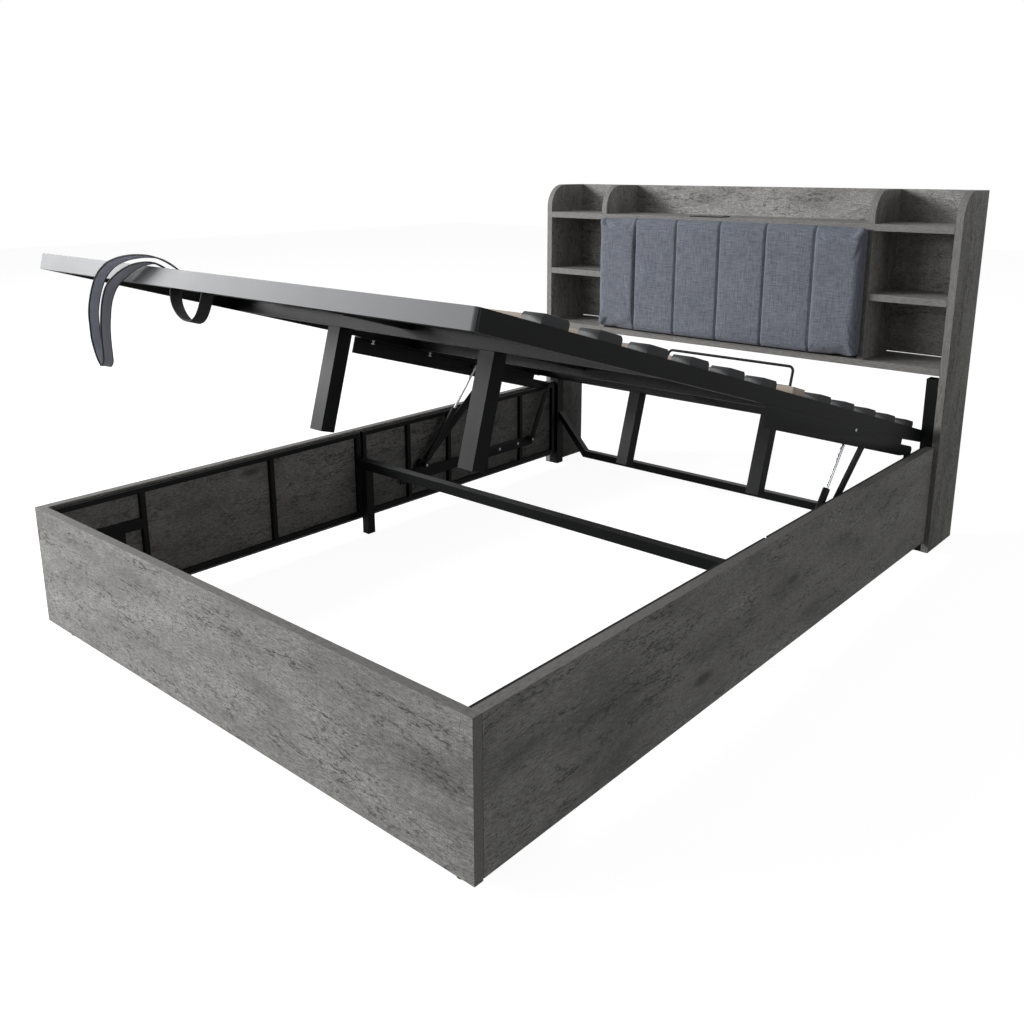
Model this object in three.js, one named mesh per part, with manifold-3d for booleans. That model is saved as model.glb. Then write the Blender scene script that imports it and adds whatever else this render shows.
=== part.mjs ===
// A storage bed with a shelved headboard, shown with its slatted platform lifted at the foot.
// Millimetres, +Z up, +X to the right seen from the foot, +Y towards the headboard.
// The origin is on the floor, midway across the bed and midway along it.
import * as THREE from 'three';
import { mergeVertices } from 'three/addons/utils/BufferGeometryUtils.js';
import Module from 'manifold-3d';

const wasm = await Module();
wasm.setup();

// General clearances
const seat = 0.3;
const running = 0.3;
const overrun = 2;
const sheetWall = 1.5;

// Boards of the base, lengths counted from the foot panel's outer face
const footPanel = { width: 1560, thick: 22, bottom: 33.4, top: 350.8 };
const sideRail = { thick: 25, length: 2081, bottom: 37.6 };
const glide = { radius: 11, inset: 66, setback: 16, bracket: 2, bracketWidth: 40, bracketRise: 45 };

// Steel ladder frames behind the side rails
const railFrame = { bar: 15, bottom: 50, topGap: 6.8, footEnd: 24, footSection: 1031, gap: 13, headEnd: 13 };
const footUprights = [268, 696];
const headBays = 5;
const gusset = { length: 191, bottom: 120, barBottom: 226, barTop: 256 };

// Steel tubes that carry the base
const crossBeam = { size: 30, wall: 1.5, bottom: 226 };
const midLeg = { width: 28, wall: 1.5, inset: 72 };
const headPost = { size: 38, wall: 1.5, setback: 2, topGap: 12 };
const headBrace = { depth: 25, bar: 28, bottom: 50, kneeInset: 168, rise: 142, setback: 15 };

// Headboard
const headboard = { height: 1135.5, depth: 215.6, board: 22, overhang: 15, cornerRadius: 85 };
const shelf = { bottomBoard: 578, lowerBay: 191.6, upperDrop: 125.5, backThick: 15.3, backGap: 4 };
const divider = { bay: 245, thick: 21.5 };
const cushion = { sideGap: 4, bottomGap: 2, topGap: 4, proud: 40, edge: 25, channels: 6 };
const cushionForm = { seam: 7, seamWidth: 26, crown: 3, drawnIn: 4, cornerRadius: 16 };
const station = { width: 122, depth: 70, plate: 3.7, lip: 6, body: 45, centreX: -89, setback: 12 };

// Slatted platform, measured along it from its foot edge (insets from its head edge), and down
// from its rim's top. It runs on under the headboard by platform.beyond when it is closed.
const platform = { inset: 47, beyond: 47, depth: 38.5, rim: 27, wall: 2, cornerRadius: 10 };
const openPose = { tiltDegrees: 16.4, headOverlap: 32.33, headZ: 392.07 };
const crossMember = { width: 40, middle: 1290 };
const centreBeam = { width: 40, height: 19.5 };
const leg = { width: 46, depth: 44, reach: 312, wall: 1.5, offset: 268, footRow: 554, headInset: 154 };
const slat = { count: 12, first: 201.3, last: 132.6, width: 68, thick: 12, stopIndex: 6, stopThick: 18 };
const cap = { length: 47, width: 77, height: 19, inset: 6, floor: 3, bevel: 6 };
const stop = { wire: 3.5, inset: 32, width: 360, height: 50, bend: 12, padLength: 30, padWidth: 22, pad: 2 };

// Lift linkage: flat links pinned to a bar on each ladder frame and to an arm under each rim.
// Insets count back from the headboard for the bar and from the platform's head edge for the arm.
const liftBar = { thick: 3, bottom: 119, top: 157, lead: 94, tail: 20, earRadius: 16, earSpread: 40 };
const frontFoot = { inset: 781, rise: 21 };
const rearFoot = { inset: 178, drop: 12 };
const frontTop = { inset: 460, drop: 72 };
const rearTopDrop = 72;
const strutTop = { inset: 555, drop: 62 };
const link = { frontWidth: 32, rearWidth: 25, thick: 4, inset: 9 };
const pin = { radius: 5, head: 9, headThick: 5, slack: 0.7 };
const liftArm = { thick: 3, drop: 55, start: 1125, end: 182, ledge: 30, earTop: 19.5, earRadius: 14 };
const strut = { inset: 24, radius: 10, length: 233, eye: 11, eyeThick: 10, neck: 5, wall: 1.5, collar: 12 };
const rod = { radius: 4.5, inside: 40 };

// Pull straps at the foot of the platform
const strap = { width: 28, thick: 3, startX: -146, reach: 272, out: 34, drop: 232, steps: 78 };
const pullLoop = { width: 28, thick: 2.5, centreX: -75, halfSpan: 58, drop: 62, skew: 22, along: 16, steps: 24 };

// Colours and surfaces
const finishes = {
  laminate: { color: 0x5b5c5e, roughness: 0.7, metalness: 0 },
  steel: { color: 0x232426, roughness: 0.5, metalness: 0.6 },
  chrome: { color: 0xc8cacc, roughness: 0.2, metalness: 1 },
  fabric: { color: 0x6a7080, roughness: 0.95, metalness: 0 },
  webbing: { color: 0x7b7f8a, roughness: 0.9, metalness: 0 },
  blackWebbing: { color: 0x18181a, roughness: 0.9, metalness: 0 },
  wood: { color: 0xcbb59a, roughness: 0.6, metalness: 0 },
  plastic: { color: 0x1c1c1e, roughness: 0.55, metalness: 0 },
};

// Places worked out from the sizes above
const headFront = footPanel.thick + sideRail.length;
const bedLength = headFront + headboard.depth;
const railInner = footPanel.width / 2 - sideRail.thick;
const frameInner = railInner - railFrame.bar;
const frameTop = footPanel.top - railFrame.topGap;
const headFrameStart = railFrame.footEnd + railFrame.footSection + railFrame.gap;
const headFrameEnd = headFront - railFrame.headEnd;
const headUprightPitch = (headFrameEnd - railFrame.bar - headFrameStart) / headBays;
const panelInner = footPanel.width / 2 + headboard.overhang - headboard.board;
const backFront = bedLength - shelf.backThick;
const bottomTop = shelf.bottomBoard + headboard.board;
const middleShelf = bottomTop + shelf.lowerBay;
const upperShelf = headboard.height - shelf.upperDrop;
const dividerOuter = panelInner - divider.bay;
const cushionHalf = dividerOuter - cushion.sideGap;
const cushionHeights = [bottomTop + cushion.bottomGap, upperShelf + headboard.board - cushion.topGap];
const deckHalf = footPanel.width / 2 - platform.inset;
const deckLength = headFront + platform.beyond;
const legStarts = { foot: leg.footRow, head: deckLength - leg.headInset };
const slatPitch = (deckLength - slat.last - slat.first) / (slat.count - 1);
const tilt = THREE.MathUtils.degToRad(openPose.tiltDegrees);
const deckEdge = {
  y: headFront + openPose.headOverlap - deckLength * Math.cos(tilt),
  z: openPose.headZ + deckLength * Math.sin(tilt),
};
const armInner = deckHalf - liftArm.thick;
const armEnds = [deckLength - liftArm.start, deckLength - liftArm.end];
const linkX = deckHalf - link.inset;
const strutX = deckHalf - strut.inset;
const frontPin = { y: headFront - frontFoot.inset, z: liftBar.top + frontFoot.rise };
const rearPin = { y: headFront - rearFoot.inset, z: liftBar.top - rearFoot.drop };
const frontTopPin = { along: deckLength - frontTop.inset, drop: frontTop.drop };
const strutTopPin = { along: deckLength - strutTop.inset, drop: strutTop.drop };

// Turns a geometry into an indexed closed surface of positions only, with its faces outwards.
function closed(geometry) {
  geometry.deleteAttribute('normal');
  geometry.deleteAttribute('uv');
  const merged = mergeVertices(geometry);
  return signedVolume(merged) < 0 ? turnedInsideOut(merged) : merged;
}

function signedVolume(geometry) {
  const corners = [new THREE.Vector3(), new THREE.Vector3(), new THREE.Vector3()];
  let total = 0;
  for (let i = 0; i < geometry.index.count; i += 3) {
    corners.forEach((corner, k) => (
      corner.fromBufferAttribute(geometry.attributes.position, geometry.index.getX(i + k))));
    total += corners[0].dot(corners[1].clone().cross(corners[2]));
  }
  return total;
}

function turnedInsideOut(geometry) {
  const flipped = geometry.clone();
  for (let i = 0; i < flipped.index.count; i += 3) {
    const second = flipped.index.getX(i + 1);
    flipped.index.setX(i + 1, flipped.index.getX(i + 2));
    flipped.index.setX(i + 2, second);
  }
  return flipped;
}

// Mirrors a geometry across the plane x = 0.
function mirrored(geometry) {
  const copy = geometry.clone();
  copy.scale(-1, 1, 1);
  return turnedInsideOut(copy);
}

// Booleans
function solid(geometry) {
  const surface = closed(geometry);
  return new wasm.Manifold(new wasm.Mesh({
    numProp: 3,
    vertProperties: new Float32Array(surface.attributes.position.array),
    triVerts: new Uint32Array(surface.index.array),
  }));
}

function surfaceOf(manifold) {
  const mesh = manifold.getMesh();
  const geometry = new THREE.BufferGeometry();
  geometry.setAttribute('position', new THREE.BufferAttribute(new Float32Array(mesh.vertProperties), 3));
  geometry.setIndex(new THREE.BufferAttribute(new Uint32Array(mesh.triVerts), 1));
  return geometry;
}

function joined(...geometries) {
  return surfaceOf(geometries.map(solid).reduce((whole, next) => whole.add(next)));
}

function cut(geometry, ...tools) {
  return surfaceOf(tools.map(solid).reduce((whole, tool) => whole.subtract(tool), solid(geometry)));
}

// Shapes
function block([x0, x1], [y0, y1], [z0, z1]) {
  const geometry = new THREE.BoxGeometry(x1 - x0, y1 - y0, z1 - z0);
  return geometry.translate((x0 + x1) / 2, (y0 + y1) / 2, (z0 + z1) / 2);
}

function rectangle([u0, u1], [v0, v1], Kind = THREE.Shape) {
  const outline = new Kind();
  outline.moveTo(u0, v0);
  outline.lineTo(u1, v0);
  outline.lineTo(u1, v1);
  outline.lineTo(u0, v1);
  outline.closePath();
  return outline;
}

// An outline drawn in Y and Z, thickened along +X from x = from.
function plateAcross(outline, from, thick, curveSegments = 12) {
  const geometry = new THREE.ExtrudeGeometry(outline, { depth: thick, bevelEnabled: false, curveSegments });
  const axes = new THREE.Matrix4().makeBasis(
    new THREE.Vector3(0, 1, 0), new THREE.Vector3(0, 0, 1), new THREE.Vector3(1, 0, 0));
  return geometry.applyMatrix4(axes).translate(from, 0, 0);
}

// An outline drawn in X and Z, thickened along +Y from y = from.
function plateAlong(outline, from, thick, curveSegments = 12) {
  const geometry = new THREE.ExtrudeGeometry(outline, { depth: thick, bevelEnabled: false, curveSegments });
  return geometry.rotateX(Math.PI / 2).translate(0, from + thick, 0);
}

// A round bar along X between two places, at y and z.
function barAcross(radius, [x0, x1], y, z, sides = 20) {
  const geometry = new THREE.CylinderGeometry(radius, radius, x1 - x0, sides);
  return geometry.rotateZ(Math.PI / 2).translate((x0 + x1) / 2, y, z);
}

// A square tube along an axis, open at both ends.
function tube(axis, width, depth, wall, from, to) {
  const section = rectangle([-width / 2, width / 2], [-depth / 2, depth / 2]);
  const bore = [[-width / 2 + wall, width / 2 - wall], [-depth / 2 + wall, depth / 2 - wall]];
  section.holes.push(rectangle(...bore, THREE.Path));
  if (axis === 'x') return plateAcross(section, from, to - from);
  const upright = new THREE.ExtrudeGeometry(section, { depth: to - from, bevelEnabled: false });
  return upright.translate(0, 0, from);
}

// A strip swept along points: across holds the unit direction of its width at each point.
function ribbon(points, across, width, thick) {
  const vertices = [];
  const faces = [];
  points.forEach((point, i) => {
    const before = points[Math.max(i - 1, 0)];
    const after = points[Math.min(i + 1, points.length - 1)];
    const tangent = after.clone().sub(before).normalize();
    const side = across[i].clone().multiplyScalar(width / 2);
    const face = tangent.cross(across[i]).normalize().multiplyScalar(thick / 2);
    for (const [s, f] of [[-1, -1], [1, -1], [1, 1], [-1, 1]]) {
      vertices.push(...point.clone().addScaledVector(side, s).addScaledVector(face, f).toArray());
    }
  });
  for (let i = 0; i < points.length - 1; i++) {
    for (let k = 0; k < 4; k++) {
      const a = 4 * i + k;
      const b = 4 * i + (k + 1) % 4;
      faces.push(a, b, b + 4, a, b + 4, a + 4);
    }
  }
  const last = 4 * (points.length - 1);
  faces.push(0, 2, 1, 0, 3, 2, last, last + 1, last + 2, last, last + 2, last + 3);
  const geometry = new THREE.BufferGeometry();
  geometry.setAttribute('position', new THREE.BufferAttribute(new Float32Array(vertices), 3));
  geometry.setIndex(faces);
  return geometry;
}

// Assembly
const bed = new THREE.Group();
bed.name = 'storage_bed';
const base = new THREE.Group();
base.position.y = -bedLength / 2;
const deck = new THREE.Group();
deck.position.set(0, deckEdge.y, deckEdge.z);
deck.rotation.x = -tilt;
base.add(deck);
bed.add(base);

function place(parent, name, geometry, finish) {
  const material = new THREE.MeshStandardMaterial(finishes[finish]);
  const mesh = new THREE.Mesh(closed(geometry), material);
  mesh.name = name;
  parent.add(mesh);
  return mesh;
}

// Adds a right-hand piece and its mirror image, both turned alike about X at their own place.
function placePair(parent, name, geometry, finish, at = { x: 0, y: 0, z: 0 }, turn = 0) {
  const surface = closed(geometry);
  for (const [side, label] of [[1, 'right'], [-1, 'left']]) {
    const mesh = place(parent, `${name}_${label}`, side > 0 ? surface.clone() : mirrored(surface), finish);
    mesh.position.set(side * at.x, at.y, at.z);
    mesh.rotation.x = turn;
  }
}

// Base boards
function addBaseBoards() {
  const half = footPanel.width / 2;
  const heights = [footPanel.bottom, footPanel.top];
  place(base, 'foot_panel', block([-half, half], [0, footPanel.thick], heights), 'laminate');
  const rail = block([railInner, half], [footPanel.thick + seat, headFront - seat], [sideRail.bottom, footPanel.top]);
  placePair(base, 'side_rail', rail, 'laminate');
  const glideAt = { x: half - glide.inset, y: footPanel.thick + glide.setback, z: 0 };
  placePair(base, 'foot_glide', glideFoot(), 'plastic', glideAt);
}

// A round foot under an angle bracket whose flange lies against the back of the foot panel.
function glideFoot() {
  const { radius, bracket, bracketRise } = glide;
  const under = footPanel.bottom - bracket;
  const foot = new THREE.CylinderGeometry(radius, radius, under + bracket / 2, 20);
  foot.rotateX(Math.PI / 2).translate(0, 0, (under + bracket / 2) / 2);
  const across = [-glide.bracketWidth / 2, glide.bracketWidth / 2];
  const back = seat - glide.setback;
  const ledge = block(across, [back, radius + bracket], [under, footPanel.bottom]);
  return joined(foot, ledge, block(across, [back, back + bracket], [under, footPanel.bottom + bracketRise]));
}

// A flat frame of bars between two ends, with windows between its uprights.
function ladderSlab(ends, windows, inset, across) {
  const shrunk = ([low, high]) => [low + inset, high - inset];
  const grown = ([low, high]) => [low - inset, high + inset];
  const beyond = [across[0] - overrun, across[1] + overrun];
  const slab = block(across, shrunk(ends), shrunk([railFrame.bottom, frameTop]));
  return cut(slab, ...windows.map(([along, heights]) => block(beyond, grown(along), grown(heights))));
}

// The bars are channels whose open side lies against the board behind them.
function ladder(ends, windows) {
  const front = ladderSlab(ends, windows, 0, [frameInner, railInner - seat]);
  return cut(front, ladderSlab(ends, windows, sheetWall, [frameInner + sheetWall, railInner + overrun]));
}

function addRailFrames() {
  const bar = railFrame.bar;
  const windowHeights = [railFrame.bottom + bar, frameTop - bar];
  const footEnds = [railFrame.footEnd, railFrame.footEnd + railFrame.footSection];
  const starts = [footEnds[0], ...footUprights];
  const stops = [...footUprights, footEnds[1] - bar];
  const footWindows = starts.slice(1).map((start, i) => [[start + bar, stops[i + 1]], windowHeights]);
  footWindows.push([[starts[0] + bar, stops[0]], [windowHeights[0], gusset.barBottom]]);
  footWindows.push([[starts[0] + bar, stops[0]], [gusset.barTop, windowHeights[1]]]);
  const plateEnds = [footEnds[0] + bar / 2, footEnds[0] + gusset.length];
  const plate = block([frameInner, frameInner + sheetWall], plateEnds, [gusset.bottom, gusset.barBottom + bar / 2]);
  placePair(base, 'rail_frame_foot', joined(ladder(footEnds, footWindows), plate), 'steel');

  const headWindows = [];
  for (let bay = 0; bay < headBays; bay++) {
    const start = headFrameStart + bay * headUprightPitch;
    headWindows.push([[start + bar, start + headUprightPitch], windowHeights]);
  }
  placePair(base, 'rail_frame_head', ladder([headFrameStart, headFrameEnd], headWindows), 'steel');
}

// Tubes of the base
function addBaseTubes() {
  const beamY = headFrameStart - crossBeam.size / 2;
  const reach = frameInner - seat;
  const beam = tube('x', crossBeam.size, crossBeam.size, crossBeam.wall, -reach, reach);
  const beamMesh = place(base, 'cross_beam', beam, 'steel');
  beamMesh.position.set(0, beamY, crossBeam.bottom + crossBeam.size / 2);

  const post = tube('z', midLeg.width, crossBeam.size, midLeg.wall, 0, crossBeam.bottom - seat);
  placePair(base, 'mid_leg', post, 'steel', { x: footPanel.width / 2 - midLeg.inset, y: beamY, z: 0 });

  const postSize = headPost.size;
  const tall = tube('z', postSize - seat, postSize, headPost.wall, 0, shelf.bottomBoard - headPost.topGap);
  const postX = panelInner - (postSize + seat) / 2;
  const postY = headFront + headPost.setback + postSize / 2;
  placePair(base, 'head_post', tall, 'steel', { x: postX, y: postY, z: 0 });
  place(base, 'head_brace', braceBar(panelInner - postSize - seat), 'steel');
}

// The bent bar between the head posts, a channel that is open towards the wall.
function braceBar(reach) {
  const knee = panelInner - headBrace.kneeInset;
  const outline = (inset) => {
    const low = headBrace.bottom + inset;
    const high = headBrace.bottom + headBrace.bar - inset;
    const end = reach - inset;
    const lean = headBrace.bar / 5;
    const shape = new THREE.Shape();
    shape.moveTo(-knee - lean, low);
    shape.lineTo(knee + lean, low);
    shape.lineTo(end, low + headBrace.rise);
    shape.lineTo(end, high + headBrace.rise);
    shape.lineTo(knee - lean, high);
    shape.lineTo(-knee + lean, high);
    shape.lineTo(-end, high + headBrace.rise);
    shape.lineTo(-end, low + headBrace.rise);
    shape.closePath();
    return shape;
  };
  const front = headFront + headBrace.setback;
  const bar = plateAlong(outline(0), front, headBrace.depth);
  return cut(bar, plateAlong(outline(sheetWall), front + sheetWall, headBrace.depth));
}

// Headboard
function roundedBoard(depth, height) {
  const radius = headboard.cornerRadius;
  const outline = new THREE.Shape();
  outline.moveTo(0, 0);
  outline.lineTo(depth, 0);
  outline.lineTo(depth, height);
  outline.lineTo(radius, height);
  outline.absarc(radius, height - radius, radius, Math.PI / 2, Math.PI, false);
  outline.closePath();
  return outline;
}

function addHeadboardBoards() {
  const board = headboard.board;
  const inside = panelInner - seat;
  const shelfDepth = [headFront, backFront - seat];
  const dividerInner = dividerOuter - divider.thick;
  const side = plateAcross(roundedBoard(headboard.depth, headboard.height), 0, board, 16);
  placePair(base, 'headboard_side', side, 'laminate', { x: panelInner, y: headFront, z: 0 });

  const upperTop = upperShelf + board;
  const upperHeight = headboard.height - upperTop - seat;
  const upper = plateAcross(roundedBoard(shelfDepth[1] - headFront, upperHeight), 0, divider.thick, 16);
  placePair(base, 'upper_divider', upper, 'laminate', { x: dividerInner, y: headFront, z: upperTop + seat });
  const lowerHeights = [bottomTop + seat, upperShelf - seat];
  placePair(base, 'lower_divider', block([dividerInner, dividerOuter], shelfDepth, lowerHeights), 'laminate');

  const bay = [dividerOuter + seat, inside];
  placePair(base, 'middle_shelf', block(bay, shelfDepth, [middleShelf, middleShelf + board]), 'laminate');
  const bottom = block([-inside, inside], [headFront, bedLength], [shelf.bottomBoard, bottomTop]);
  place(base, 'bottom_board', bottom, 'laminate');
  const back = block([-inside, inside], [backFront, bedLength], [bottomTop + shelf.backGap, headboard.height]);
  place(base, 'back_panel', back, 'laminate');
  addUpperShelf(inside, shelfDepth);
}

// The upper shelf is cut out for the charging station that drops into it.
function addUpperShelf(inside, shelfDepth) {
  const top = upperShelf + headboard.board;
  const halfWidth = station.width / 2;
  const plateX = [station.centreX - halfWidth, station.centreX + halfWidth];
  const plateY = [headFront + station.setback, headFront + station.setback + station.depth];
  const inset = ([low, high], by) => [low + by, high - by];
  const board = block([-inside, inside], shelfDepth, [upperShelf, top]);
  const opening = block(inset(plateX, station.lip), inset(plateY, station.lip), [upperShelf - overrun, top + overrun]);
  place(base, 'upper_shelf', cut(board, opening), 'laminate');
  const plate = block(plateX, plateY, [top + seat, top + seat + station.plate]);
  const lip = station.lip + seat;
  const body = block(inset(plateX, lip), inset(plateY, lip), [top - station.body, top + seat + station.plate / 2]);
  place(base, 'charging_station', joined(plate, body), 'plastic');
}

// Headboard cushion: a padded front with sewn channels, drawn in along its sides, on a flat back.
function cushionDepth(x, z, halfWidth, halfHeight) {
  const edge = (distance) => {
    const share = Math.min(Math.max(distance / cushion.edge, 0), 1);
    return Math.sqrt(1 - (1 - share) ** 2);
  };
  const rise = edge(halfWidth - Math.abs(x)) * edge(halfHeight - Math.abs(z));
  const pitch = 2 * halfWidth / cushion.channels;
  const nearest = Math.round((x + halfWidth) / pitch);
  const isSeam = nearest > 0 && nearest < cushion.channels;
  const away = Math.abs(x + halfWidth - nearest * pitch) / cushionForm.seamWidth;
  const groove = isSeam ? cushionForm.seam * Math.exp(-4 * away * away) : 0;
  const crown = cushionForm.crown * (1 - (z / halfHeight) ** 2);
  return rise * (cushion.proud - cushionForm.crown - groove + crown);
}

function cushionStations(half, count, edge) {
  const edgeShares = [0, 0.08, 0.35, 1];
  const places = edgeShares.map((share) => -half + share * edge);
  const inner = half - edge;
  for (let i = 1; i < count; i++) places.push(-inner + 2 * inner * i / count);
  return [...places, ...edgeShares.map((share) => half - share * edge).reverse()];
}

function addCushion() {
  const halfHeight = (cushionHeights[1] - cushionHeights[0]) / 2;
  const xs = cushionStations(cushionHalf, cushion.channels * 6, cushion.edge);
  const zs = cushionStations(halfHeight, 10, cushion.edge);
  const vertices = [];
  const faces = [];
  const pull = (share) => cushionForm.drawnIn * (1 - share * share);
  for (const z of zs) {
    for (const x of xs) {
      const rounding = cushionForm.cornerRadius * (Math.abs(x) / cushionHalf) ** 24;
      const narrow = 1 - pull(z / halfHeight) / cushionHalf;
      const low = 1 - (pull(x / cushionHalf) + rounding) / halfHeight;
      const depth = cushionDepth(x, z, cushionHalf, halfHeight);
      vertices.push(x * narrow, -depth, z * low);
    }
  }
  const columns = xs.length;
  for (let row = 0; row < zs.length - 1; row++) {
    for (let column = 0; column < columns - 1; column++) {
      const corner = row * columns + column;
      faces.push(corner, corner + 1, corner + columns + 1, corner, corner + columns + 1, corner + columns);
    }
  }
  addFlatBack(vertices, faces, columns, zs.length);
  const geometry = new THREE.BufferGeometry();
  geometry.setAttribute('position', new THREE.BufferAttribute(new Float32Array(vertices), 3));
  geometry.setIndex(faces);
  const mesh = place(base, 'headboard_cushion', geometry, 'fabric');
  mesh.position.set(0, headFront - seat, cushionHeights[0] + halfHeight);
}

// Closes a grid whose rim lies in one plane with a fan of faces round its middle.
function addFlatBack(vertices, faces, columns, rows) {
  const rim = [];
  for (let i = 0; i < columns; i++) rim.push(i);
  for (let i = 1; i < rows; i++) rim.push(i * columns + columns - 1);
  for (let i = columns - 2; i >= 0; i--) rim.push((rows - 1) * columns + i);
  for (let i = rows - 2; i > 0; i--) rim.push(i * columns);
  const middle = vertices.length / 3;
  vertices.push(0, 0, 0);
  rim.forEach((from, i) => faces.push(from, middle, rim[(i + 1) % rim.length]));
}

// Platform: one welded frame of folded channels
function rimOutline(inset) {
  const half = deckHalf - inset;
  const end = deckLength - inset;
  const radius = platform.cornerRadius - inset;
  const outline = new THREE.Shape();
  outline.moveTo(-half + radius, inset);
  outline.lineTo(half - radius, inset);
  outline.absarc(half - radius, inset + radius, radius, -Math.PI / 2, 0, false);
  outline.lineTo(half, end);
  outline.lineTo(-half, end);
  outline.lineTo(-half, inset + radius);
  outline.absarc(-half + radius, inset + radius, radius, Math.PI, Math.PI * 1.5, false);
  return outline;
}

function platformFrame() {
  const { depth, rim, wall } = platform;
  const slab = (outline, from, thick) => {
    const geometry = new THREE.ExtrudeGeometry(outline, { depth: thick, bevelEnabled: false, curveSegments: 8 });
    return geometry.translate(0, 0, from);
  };
  const well = block([-deckHalf + rim, deckHalf - rim], [rim, deckLength - rim], [-depth - overrun, overrun]);
  const ring = cut(slab(rimOutline(0), -depth, depth), slab(rimOutline(wall), wall - depth, depth - 2 * wall), well);
  const reach = deckHalf - wall / 2;
  const parts = [ring];
  for (const middle of [legStarts.foot + leg.depth / 2, crossMember.middle, legStarts.head + leg.depth / 2]) {
    const span = [middle - crossMember.width / 2, middle + crossMember.width / 2];
    parts.push(trough([-reach, reach], span, [-depth, -wall / 2], 'up'));
  }
  const beamSpan = [-centreBeam.width / 2, centreBeam.width / 2];
  parts.push(trough(beamSpan, [wall / 2, deckLength - wall / 2], [-centreBeam.height, 0], 'down'));
  return joined(...parts);
}

// A folded channel along the longer of its two spans, open at its top or its underside.
function trough(xs, ys, zs, open) {
  const alongX = xs[1] - xs[0] > ys[1] - ys[0];
  const inner = ([low, high]) => [low + sheetWall, high - sheetWall];
  const over = ([low, high]) => [low - overrun, high + overrun];
  const opened = open === 'up' ? [zs[0] + sheetWall, zs[1] + overrun] : [zs[0] - overrun, zs[1] - sheetWall];
  return cut(block(xs, ys, zs), block(alongX ? over(xs) : inner(xs), alongX ? inner(ys) : over(ys), opened));
}

function addPlatform() {
  place(deck, 'platform_frame', platformFrame(), 'steel');
  const post = tube('z', leg.width, leg.depth, leg.wall, -leg.reach, -platform.depth - seat);
  for (const [row, start] of Object.entries(legStarts)) {
    placePair(deck, `platform_leg_${row}`, post.clone(), 'steel', { x: leg.offset, y: start + leg.depth / 2, z: 0 });
  }
}

// Slats: a wooden slat with a plastic cap on each end, and one plain slat that carries the stop
function capOutline() {
  const half = cap.width / 2;
  const outline = new THREE.Shape();
  outline.moveTo(-half, 0);
  outline.lineTo(half, 0);
  outline.lineTo(half, cap.height - cap.bevel);
  outline.lineTo(half - cap.bevel, cap.height);
  outline.lineTo(cap.bevel - half, cap.height);
  outline.lineTo(-half, cap.height - cap.bevel);
  outline.closePath();
  return outline;
}

function addSlats() {
  const end = deckHalf - cap.inset;
  const halfWidth = slat.width / 2;
  const wood = block([cap.floor - end, end - cap.floor], [-halfWidth, halfWidth], [cap.floor, cap.floor + slat.thick]);
  const capped = joined(wood,
    plateAcross(capOutline(), end - cap.length, cap.length), plateAcross(capOutline(), -end, cap.length));
  const plain = block([-end, end], [-halfWidth, halfWidth], [0, slat.stopThick]);
  for (let row = 0; row < slat.count; row++) {
    const isStop = row === slat.stopIndex;
    const name = isStop ? 'stop_slat' : `slat_${String(row + 1).padStart(2, '0')}`;
    const mesh = place(deck, name, isStop ? plain : capped.clone(), 'wood');
    mesh.position.set(0, slat.first + row * slatPitch, seat);
  }
}

// Mattress stop: a bent wire with a flat pad at each foot
function addMattressStop() {
  const { height, bend, wire } = stop;
  const right = deckHalf - stop.inset;
  const left = right - stop.width;
  const foot = stop.pad / 2;
  const corner = (x, side) => new THREE.QuadraticBezierCurve3(
    new THREE.Vector3(x, 0, side > 0 ? height - bend : height), new THREE.Vector3(x, 0, height),
    new THREE.Vector3(x, 0, height));
  const path = new THREE.CurvePath();
  const at = (x, z) => new THREE.Vector3(x, 0, z);
  path.add(new THREE.LineCurve3(at(left, foot), at(left, height - bend)));
  const first = corner(left, 1);
  first.v2.x = left + bend;
  path.add(first);
  path.add(new THREE.LineCurve3(at(left + bend, height), at(right - bend, height)));
  const second = corner(right, -1);
  second.v0.x = right - bend;
  second.v2.z = height - bend;
  path.add(second);
  path.add(new THREE.LineCurve3(at(right, height - bend), at(right, foot)));
  const section = new THREE.Shape().absarc(0, 0, wire, 0, 2 * Math.PI, false);
  const bar = new THREE.ExtrudeGeometry(section, { steps: 90, extrudePath: path, curveSegments: 5 });
  const pads = [[left - wire, left + stop.padLength], [right - stop.padLength, right + wire]]
    .map((span) => block(span, [-stop.padWidth / 2, stop.padWidth / 2], [0, stop.pad]));
  const mesh = place(deck, 'mattress_stop', joined(bar, ...pads), 'steel');
  const along = slat.first + slat.stopIndex * slatPitch;
  mesh.position.set(0, along, slat.stopThick + 2 * seat);
}

// Lift linkage. The platform comes down level with its legs on the floor, which fixes the
// closed pose, and the rear link's upper pin is where both poses lie one link length from its foot.
const onPlatform = ({ along, drop }) => new THREE.Vector2(
  deckEdge.y + along * Math.cos(tilt) - drop * Math.sin(tilt),
  deckEdge.z - along * Math.sin(tilt) - drop * Math.cos(tilt));

function rearTopPlace() {
  const top = onPlatform(frontTopPin);
  const frontLength = Math.hypot(top.x - frontPin.y, top.y - frontPin.z);
  const closedRise = leg.reach - frontTopPin.drop - frontPin.z;
  const closedEdge = frontPin.y + Math.sqrt(frontLength ** 2 - closedRise ** 2) - frontTopPin.along;
  const y = rearPin.y - deckEdge.y;
  const z = rearPin.z - deckEdge.z;
  const opened = { along: y * Math.cos(tilt) - z * Math.sin(tilt), drop: -y * Math.sin(tilt) - z * Math.cos(tilt) };
  const shut = { along: rearPin.y - closedEdge, drop: leg.reach - rearPin.z };
  const slope = (opened.drop - shut.drop) / (opened.along - shut.along);
  const middleDrop = (opened.drop + shut.drop) / 2;
  return { along: (opened.along + shut.along) / 2 + (middleDrop - rearTopDrop) * slope, drop: rearTopDrop };
}

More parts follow.
